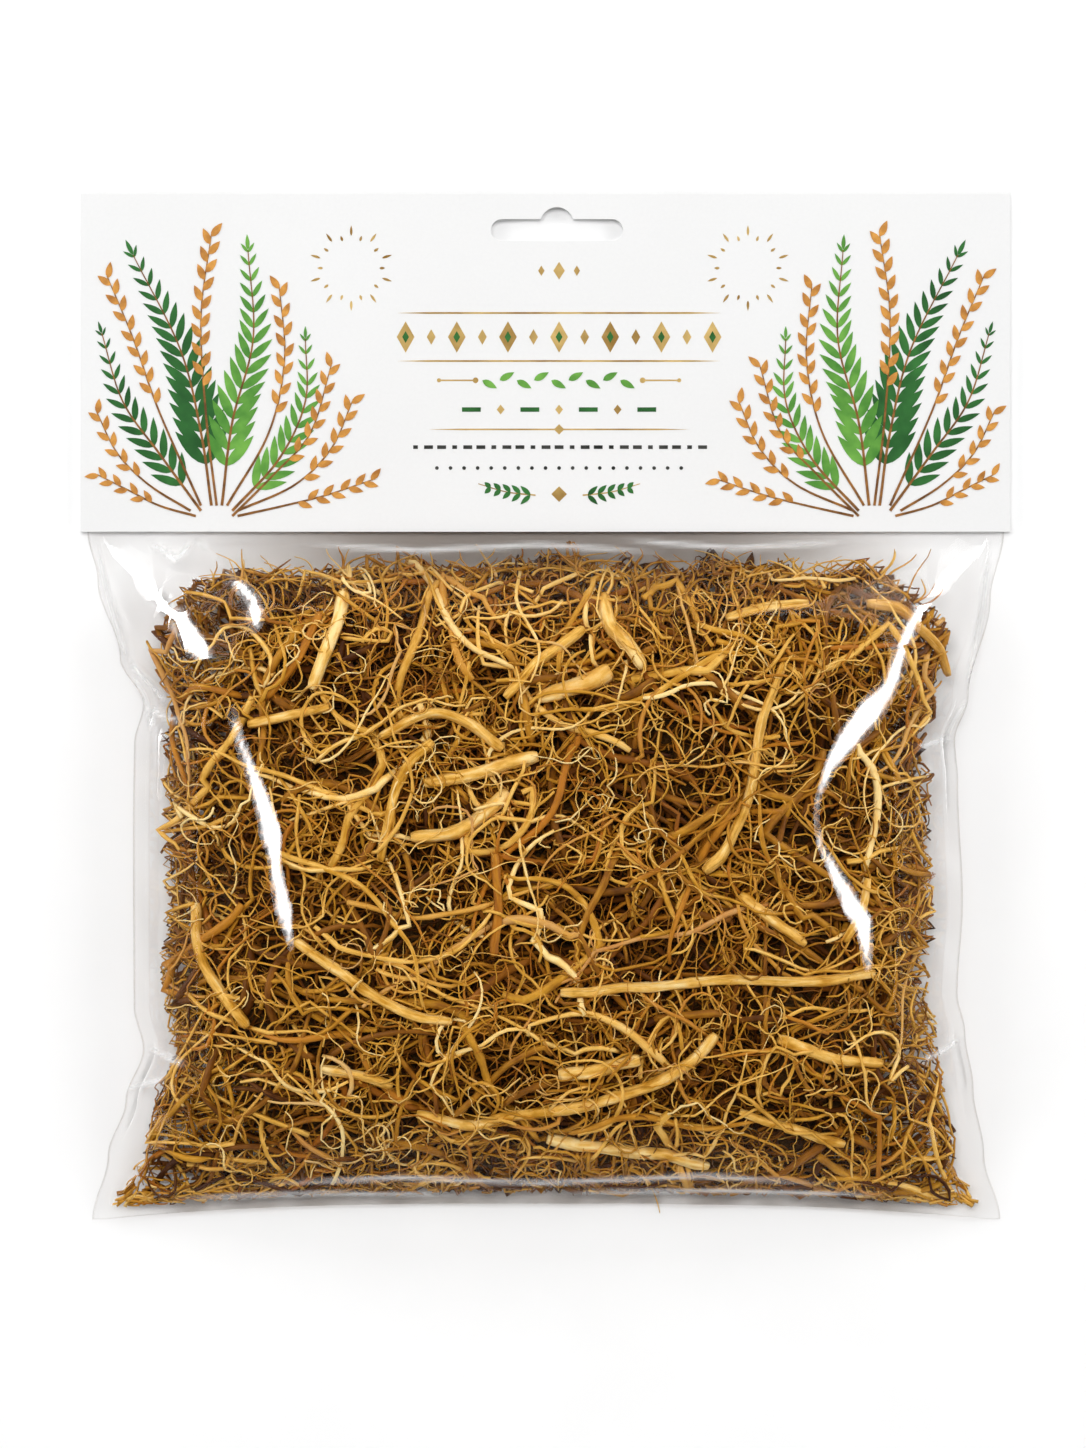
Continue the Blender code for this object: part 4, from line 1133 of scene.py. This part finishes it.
def front_relief(rng, x, y, across, edge):
    """Height, painted highlight mask (gleam) and crease lines: slow waves, folds along the edges, facets,
    creases.
    """
    slack = smoothstep((np.abs(across) - 0.80) / 0.15)
    slack = np.maximum(slack, 0.8 * edge)
    waves = ripple(rng, x, y, 34.0) * 0.10 * MM + ripple(rng, x * 0.3, y, 10.0) * 0.18 * MM * slack
    height, gleam = facets(x, y)
    ridges, lines = crease_height(x, y)
    # Crease lines get a weaker painted highlight in the same mask
    return waves * calm(x, y) + height + ridges, np.maximum(gleam, 0.45 * lines), lines


def film_shade(rng, x, y, across, low, border, lines):
    """Painted shade that greys the film: under the card, at the bottom seal and along its edges."""
    neck = smoothstep((y - 19 * MM) / (10 * MM)) * smoothstep((78 * MM - np.abs(x)) / (60 * MM))
    foot = smoothstep((low + 4 * MM - y) / (5 * MM)) * smoothstep((80 * MM - np.abs(x)) / (14 * MM))
    margin = smoothstep((np.abs(across) - 0.84) / 0.1)
    margin *= 0.005 + 0.055 * np.abs(np.clip(ripple(rng, x * 2.2, y, 34.0), -1, 1))
    foot *= 0.30 + 0.12 * np.clip(ripple(rng, x, y * 0.4, 9.0), -1, 1)
    shade = np.maximum(np.maximum(NECK_SHADE * neck, foot), margin * (1 - lines))
    return np.where(border, np.maximum(shade, EDGE_SHADE), shade)


def face_height(side, rng, x, y, across, low, run, above):
    """Height, painted highlight mask (gleam) and crease lines of one sheet, which closes to the other at
    the top.
    """
    on_cavity = np.minimum(y, CARD_EDGE_Y)
    face = film_z(across, on_cavity) if side > 0 else back_z(across, on_cavity)
    closing = smoothstep(above * 3)
    z = face * (1 - closing) + (FLAP_Z + side * 0.3 * HALF_FLAP) * closing
    free = np.clip((1 - np.abs(across)) / HELD_ACROSS, 0, 1) * np.clip(run / HELD_UP, 0, 1)
    free = (1 - closing) * free
    if side < 0:
        z = z + free * np.abs(ripple(rng, x, y, 16.0)) * 0.3 * MM
        return z, np.zeros_like(x), np.zeros_like(x)
    ends = np.maximum(smoothstep((on_cavity - CARD_EDGE_Y + SLACK_END) / SLACK_FADE),
                      smoothstep((low + SLACK_END - on_cavity) / SLACK_FADE))
    relief, gleam, lines = front_relief(rng, x, y, across, ends)
    return np.minimum(z + free * relief, BAG_HEIGHT), gleam, lines


def film_sheet(side, rng):
    """One sheet of the bag, with the welded bands outside it and the flap under the card."""
    bpy.ops.mesh.primitive_grid_add(
        x_subdivisions=FILM_COLUMNS, y_subdivisions=FILM_ROWS, size=2.0
    )
    sheet = bpy.context.object
    u, v, _ = points_of(sheet).T
    inner = 1 - BAND
    across = np.clip(u / inner, -1, 1)
    beyond = np.clip((np.abs(u) - inner) / BAND, 0, 1)
    rise = (v + 1) / 2
    low = cavity_bottom(across)
    run = np.clip((rise - BAND / 2) / (1 - BAND / 2 - FLAP_SHARE), 0, 1)
    below = np.clip(1 - rise / (BAND / 2), 0, 1)
    above = np.clip((rise - 1 + FLAP_SHARE) / FLAP_SHARE, 0, 1)
    y = low + run * (CARD_EDGE_Y - low) - below * BOTTOM_SEAL + above * FLAP_LENGTH
    x = x_of(across, y) + np.sign(u) * beyond * WELD
    z, gleam, lines = face_height(side, rng, x, y, across, low, run, above)

    seam = read_curve(SEAM_HEIGHT, np.minimum(y, CARD_EDGE_Y))
    welded = (beyond > 0) | (below > 0)
    border = (np.abs(u) > 1 - 1e-6) | (rise < 1e-6) | (rise > 1 - 1e-6)
    z = np.where(welded, seam + side * SHEET_GAP, z)
    z = np.where(border, seam, z)
    sway = smoothstep(1.2 * np.maximum(beyond, below)) * 0.25 * MM
    z += sway * ripple(np.random.default_rng(SEED + 5), x, y, 22.0) * (z > 1.0 * MM)
    sheet.data.vertices.foreach_set("co", np.column_stack([x, y, z]).ravel())
    if side < 0:
        sheet.data.flip_normals()
    # Painted highlight mask, kept off the welded bands
    paint_points(sheet, "gleam", "FLOAT", gleam * (beyond < 0.5))
    # Painted shade
    paint_points(sheet, "shade", "FLOAT", film_shade(rng, x, y, across, low, border, lines))
    # Painted white highlight along the crease lines
    paint_points(sheet, "white", "FLOAT", CREASE_PAINTED_HIGHLIGHT * lines)
    return sheet


def make_film():
    rng = np.random.default_rng(SEED + 2)
    sheets = [film_sheet(side, rng) for side in (1, -1)]
    bpy.ops.object.select_all(action="DESELECT")
    for sheet in sheets:
        sheet.select_set(True)
    bpy.context.view_layer.objects.active = sheets[0]
    bpy.ops.object.join()
    film = bpy.context.object
    film.name = "film_bag"
    bpy.ops.object.mode_set(mode="EDIT")
    bpy.ops.mesh.select_all(action="SELECT")
    bpy.ops.mesh.remove_doubles(threshold=1e-6)
    bpy.ops.object.mode_set(mode="OBJECT")
    film.data.shade_smooth()
    film.data.materials.clear()
    film.data.materials.append(clear_film())
    place_piece(film, "film", "clear_bag")


# Printed ornament on the card

INK = 0.03 * MM
INK_BASE = CARD_TOP_Z + 0.01 * MM
PRINT_MIDDLE = 2.6
STALK_STEP = 0.5 * MM
FIRST_LEAF = 0.16
FIRST_SEED = 0.45
LEAF_LEAN = 0.62
# Each ink: its layer, its material, that material's colours from dark to light, how metallic and
# rough it is, and how fine its patches are
INKS = {
    "deep_green": (1, "deep_green_ink", (0.012, 0.075, 0.016), (0.03, 0.16, 0.03), 0.0, 0.42, 160.0),
    "fresh_green": (2, "fresh_green_ink", (0.05, 0.20, 0.025), (0.16, 0.40, 0.06), 0.0, 0.42, 160.0),
    "stems": (3, "brown_ink", (0.10, 0.040, 0.010), (0.33, 0.14, 0.03), 0.0, 0.42, 420.0),
    "seeds": (4, "amber_ink", (0.36, 0.14, 0.025), (0.68, 0.32, 0.06), 0.0, 0.42, 420.0),
    "gold": (0, "gold_foil", (0.36, 0.20, 0.045), (0.80, 0.56, 0.20), 0.35, 0.32, 110.0),
    "dark": (0, "dark_ink", (0.012, 0.014, 0.012), (0.05, 0.05, 0.045), 0.0, 0.42, 160.0),
}
# The spray at the card's right: each frond's route, pairs of leaves and longest leaf, and each
# stalk's route, seeds and seed length, in mm
FRONDS = [
    ([(64, 38), (66, 52), (70, 68), (79, 86)], 15, 11.0),
    ([(62, 38), (60, 54), (56, 70), (57, 87)], 15, 10.0),
    ([(66, 37), (74, 48), (81, 58), (85, 71)], 12, 8.0),
    ([(60, 37), (51, 47), (46, 58), (46, 70)], 12, 8.0),
]
STALKS = [
    ([(63, 38), (65, 55), (66, 74), (64, 90)], 17, 3.4),
    ([(61, 38), (53, 52), (50, 66), (51, 80)], 14, 3.2),
    ([(66, 38), (74, 56), (79, 70), (84, 82)], 15, 3.2),
    ([(59, 37), (48, 42), (41, 49), (37, 58)], 11, 3.2),
    ([(68, 37), (76, 42), (82, 48), (86, 56)], 9, 3.0),
    ([(59, 36), (50, 38), (42, 40), (33, 43)], 10, 3.0),
    ([(60, 36), (52, 44), (45, 52), (41, 65)], 12, 3.1),
    ([(67, 36), (74, 38), (80, 41), (86, 44)], 8, 2.8),
]


class Print:
    """Flat shapes of one ink, each a thin closed plate on the card. A higher layer of ink
    covers a lower one.
    """

    def __init__(self, layer):
        self.points, self.faces = [], []
        self.shapes = 0
        self.top = INK_BASE + (layer + 1) * INK

    def plate(self, outline):
        count = len(outline)
        first = len(self.points)
        top = self.top + (self.shapes % 7) * INK / 8
        self.points += [(x, y, INK_BASE) for x, y in outline]
        self.points += [(x, y, top) for x, y in outline]
        self.faces.append(tuple(first + i for i in reversed(range(count))))
        self.faces.append(tuple(first + count + i for i in range(count)))
        self.faces += [(first + i, first + (i + 1) % count, first + count + (i + 1) % count,
                        first + count + i) for i in range(count)]
        self.shapes += 1

    def leaf(self, x, y, angle, length, width, points=7):
        """A lance-shaped leaf that starts at x, y. All in millimetres."""
        run = np.linspace(0, 1, points)
        half = width / 2 * np.sin(math.pi * run**0.8) ** 0.9
        upper = list(zip(run * length, half))
        lower = [(px, -py) for px, py in upper[1:-1]]
        outline = lower + [upper[-1]] + upper[-2:0:-1] + [upper[0]]
        self.turned(outline, x, y, angle)

    def lozenge(self, x, y, width, height):
        self.turned([(-width / 2, 0), (0, -height / 2), (width / 2, 0), (0, height / 2)], x, y, 0)

    def dot(self, x, y, radius, points=12):
        turn = [2 * math.pi * i / points for i in range(points)]
        self.turned([(radius * math.cos(a), radius * math.sin(a)) for a in turn], x, y, 0)

    def bar(self, x, y, length, height, pointed=False):
        half, rise = length / 2, height / 2
        inset = min(half, 6.0) if pointed else 0
        outline = [(-half + inset, -rise), (half - inset, -rise), (half, 0), (half - inset, rise),
                   (-half + inset, rise), (-half, 0)]
        self.turned(outline, x, y, 0)

    def stroke(self, points, start, end):
        """A tapering line through points."""
        path = smooth_route(points, 1.2 * MM) / MM
        along = np.gradient(path, axis=0)
        along /= np.linalg.norm(along, axis=1, keepdims=True)
        half = np.linspace(start, end, len(path))[:, None] / 2
        side = along[:, ::-1] * (1, -1) * half
        outline = np.vstack([path + side, (path - side)[::-1]])
        self.turned([tuple(p) for p in outline], 0, 0, 0)

    def turned(self, outline, x, y, angle):
        c, s = math.cos(angle), math.sin(angle)
        moved = [((x + px * c - py * s) * MM, (y + px * s + py * c) * MM) for px, py in outline]
        area = sum(a[0] * b[1] - b[0] * a[1] for a, b in zip(moved, moved[1:] + moved[:1]))
        self.plate(moved if area > 0 else moved[::-1])

    def piece(self, name, material):
        place_piece(mesh_piece(name, self.points, self.faces, material, smooth=False), "card")


def frond(leaves, stems, route, count, longest):
    """A stem with pairs of leaves that shorten towards its tip."""
    stems.stroke(route, 0.55, 0.18)
    path = smooth_route(route, STALK_STEP) / MM
    for i in range(count):
        share = FIRST_LEAF + (1 - FIRST_LEAF) * i / (count - 1)
        spot = path[min(len(path) - 2, int(share * (len(path) - 1)))]
        ahead = path[min(len(path) - 1, int(share * (len(path) - 1)) + 1)] - spot
        angle = math.atan2(ahead[1], ahead[0])
        length = longest * (1 - 0.72 * share) * (0.8 + 0.2 * math.sin(share * math.pi))
        for side in (-1, 1):
            leaves.leaf(spot[0], spot[1], angle + side * LEAF_LEAN, length, length * 0.26)
    leaves.leaf(path[-1][0], path[-1][1], angle, longest * 0.3, longest * 0.08)


def grain_stalk(stems, seeds, route, count, size):
    """A bowed stalk with small seeds along its upper half."""
    stems.stroke(route, 0.5, 0.2)
    path = smooth_route(route, STALK_STEP) / MM
    for i in range(count):
        share = FIRST_SEED + (1 - FIRST_SEED) * i / (count - 1)
        at = min(len(path) - 2, int(share * (len(path) - 1)))
        ahead = path[at + 1] - path[at]
        angle = math.atan2(ahead[1], ahead[0])
        side = 1 if i % 2 else -1
        seeds.leaf(path[at][0], path[at][1], angle + side * 0.55, size, size * 0.42, 6)


def side_spray(mirror, greens, stems, seeds):
    """The spray of ferns and grain at one end of the card, growing from its lower corner."""
    def route(points):
        return [(mirror * x, y) for x, y in points]

    for number, (points, count, longest) in enumerate(FRONDS):
        frond(greens[number % len(greens)], stems, route(points), count, longest)
    for points, count, size in STALKS:
        grain_stalk(stems, seeds, route(points), count, size)


def row(count, gap):
    """The number and the place of each shape along a row."""
    return [(i, PRINT_MIDDLE + (i - (count - 1) / 2) * gap) for i in range(count)]


def print_band(y, deep_green, gold):
    """Lozenges, large and small in turn, between two rules."""
    for i, x in row(13, 4.9):
        if i % 2:
            gold.lozenge(x, y, 1.7, 3.0)
        else:
            gold.lozenge(x, y, 3.4, 6.0)
            deep_green.lozenge(x, y, 1.3, 2.3)
    for rule_y in (y + 4.6, y - 4.6):
        gold.bar(PRINT_MIDDLE, rule_y, 62.0, 0.35, True)


def print_leaf_row(y, fresh_green, gold):
    for i, x in row(9, 3.3):
        fresh_green.leaf(x - 1.5, y, 0.5 if i % 2 else -0.5, 3.2, 1.3)
    for side in (-1, 1):
        gold.bar(PRINT_MIDDLE + side * 19.5, y, 6.5, 0.3)
        gold.dot(PRINT_MIDDLE + side * 16.0, y, 0.55)
        gold.dot(PRINT_MIDDLE + side * 23.0, y, 0.4)


def print_small_rows(deep_green, gold, dark):
    """Dashes and lozenges, a rule, dashes, and dots, from the top down."""
    for i, x in row(7, 5.6):
        if i % 2:
            gold.lozenge(x, 56.4, 1.5, 1.9)
        else:
            deep_green.bar(x, 56.4, 3.6, 0.85)
    gold.bar(PRINT_MIDDLE, 52.6, 50.0, 0.3, True)
    gold.lozenge(PRINT_MIDDLE, 52.6, 2.0, 2.0)
    for i, x in row(23, 2.5):
        dark.bar(x, 49.2, 1.7 if i % 3 else 0.9, 0.7)
    for _, x in row(19, 2.6):
        dark.dot(x, 45.2, 0.36)


def print_twigs(y, deep_green, gold):
    """A leafy twig to each side of a lozenge."""
    for side in (-1, 1):
        for i in range(5):
            x = PRINT_MIDDLE + side * (5.5 + i * 1.9)
            for lean in (-1, 1):
                angle = (0 if side > 0 else math.pi) + lean * 0.75
                deep_green.leaf(x, y + i * 0.35, angle, 2.6 - 0.25 * i, 0.95)
        twig = [(4.5, 0.0), (10.0, 0.6), (15.5, 2.2)]
        gold.stroke([(PRINT_MIDDLE + side * out, y + up) for out, up in twig], 0.3, 0.15)
    gold.lozenge(PRINT_MIDDLE, y + 0.2, 3.0, 3.0)


def print_rings(gold):
    """Three lozenges beside the hang slot, and a ring of rays at either side."""
    for i, x in row(3, 3.4):
        gold.lozenge(x, 83.0, 2.2 if i == 1 else 1.2, 3.4 if i == 1 else 2.0)
    for side in (-1, 1):
        for i in range(20):
            turn = 2 * math.pi * i / 20
            reach = 6.2 if i % 2 else 5.4
            x = side * 38.0 + PRINT_MIDDLE * 0.3 + reach * math.cos(turn)
            gold.leaf(x, 83.5 + reach * math.sin(turn), turn, 2.0 if i % 2 else 1.1, 0.5)


def make_print():
    inks = {name: Print(layer) for name, (layer, *_) in INKS.items()}
    deep_green, fresh_green, stems, seeds, gold, dark = inks.values()
    for mirror in (-1, 1):
        side_spray(mirror, (deep_green, fresh_green), stems, seeds)
    print_band(70.3, deep_green, gold)
    print_leaf_row(62.0, fresh_green, gold)
    print_small_rows(deep_green, gold, dark)
    print_twigs(40.0, deep_green, gold)
    print_rings(gold)
    for name, ink in inks.items():
        _, material, *looks = INKS[name]
        ink.piece("print_" + name, printed(material, *looks))


# Stage

GLINT_RADIANCE = 4.6
# Large lights that never show in the gloss: place, long side, short side and power
BOXES = {
    "key_box": ((-0.10, 0.40, 1.48), 0.45, 0.8, 13.4),
    "low_box": ((0.10, -0.75, 1.20), 0.35, 0.8, 2.6),
    "back_box": ((-0.05, 1.25, 0.85), 0.35, 1.0, 5.0),
    "left_box": ((-1.00, 0.15, 0.65), 0.8, 0.4, 4.6),
    "right_box": ((1.00, 0.15, 0.65), 0.8, 0.4, 4.8),
}


def add_light(name, place, long_side, short_side, power):
    """An area light that faces the packet, its long side as near to the y axis as it can be."""
    data = bpy.data.lights.new(name, "AREA")
    data.shape = "RECTANGLE"
    data.size, data.size_y = long_side, short_side
    data.energy = power
    light = bpy.data.objects.new(name, data)
    facing = Vector(place).normalized()
    along = (Vector((0, 1, 0)) - facing * facing.y).normalized()
    turn = Matrix((along, facing.cross(along), facing)).transposed()
    light.location = place
    light.rotation_euler = turn.to_euler()
    bpy.context.scene.collection.objects.link(light)
    return light


def make_lights():
    for name, box in BOXES.items():
        light = add_light(name, *box)
        light.visible_glossy = False
    for name, (place, long_side, short_side) in SIDE_LIGHTS.items():
        power = GLINT_RADIANCE * math.pi * long_side * short_side
        light = add_light(name, place, long_side, short_side, power)
        light.visible_diffuse = False


def make_sky():
    """A studio that is bright round the horizon and dark overhead, so flat film isn't hazed."""
    world = bpy.data.worlds.new("studio")
    world.use_nodes = True
    tree = world.node_tree
    way = tree.nodes.new("ShaderNodeTexCoord")
    split = tree.nodes.new("ShaderNodeSeparateXYZ")
    ramp = tree.nodes.new("ShaderNodeValToRGB")
    ramp.color_ramp.elements[0].position = 0.05
    ramp.color_ramp.elements[0].color = (0.90, 0.90, 0.90, 1)
    ramp.color_ramp.elements[1].position = 0.45
    ramp.color_ramp.elements[1].color = (0.05, 0.05, 0.05, 1)
    tree.links.new(way.outputs["Generated"], split.inputs[0])
    tree.links.new(split.outputs["Z"], ramp.inputs[0])
    tree.links.new(ramp.outputs[0], tree.nodes["Background"].inputs["Color"])
    bpy.context.scene.world = world


def make_camera():
    """The photograph's camera, which looks straight down."""
    data = bpy.data.cameras.new("camera")
    data.lens = LENS
    data.sensor_width = SENSOR
    camera = bpy.data.objects.new("camera", data)
    camera.location = CAMERA_PLACE
    bpy.context.scene.collection.objects.link(camera)
    bpy.context.scene.camera = camera


def make_stage():
    bpy.ops.mesh.primitive_plane_add(size=6.0, location=(0, 0, 0))
    floor = bpy.context.object
    floor.name = "floor"
    floor.data.materials.append(pale_floor())
    make_lights()
    make_sky()
    make_camera()
    bpy.context.scene.view_settings.view_transform = "Standard"


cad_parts["header_card"].data.materials[0] = white_card()
bpy.ops.object.select_all(action="DESELECT")
thick_rows = make_thick_roots()
make_fine_roots(thick_rows)
make_heart()
make_film()
make_print()
make_stage()
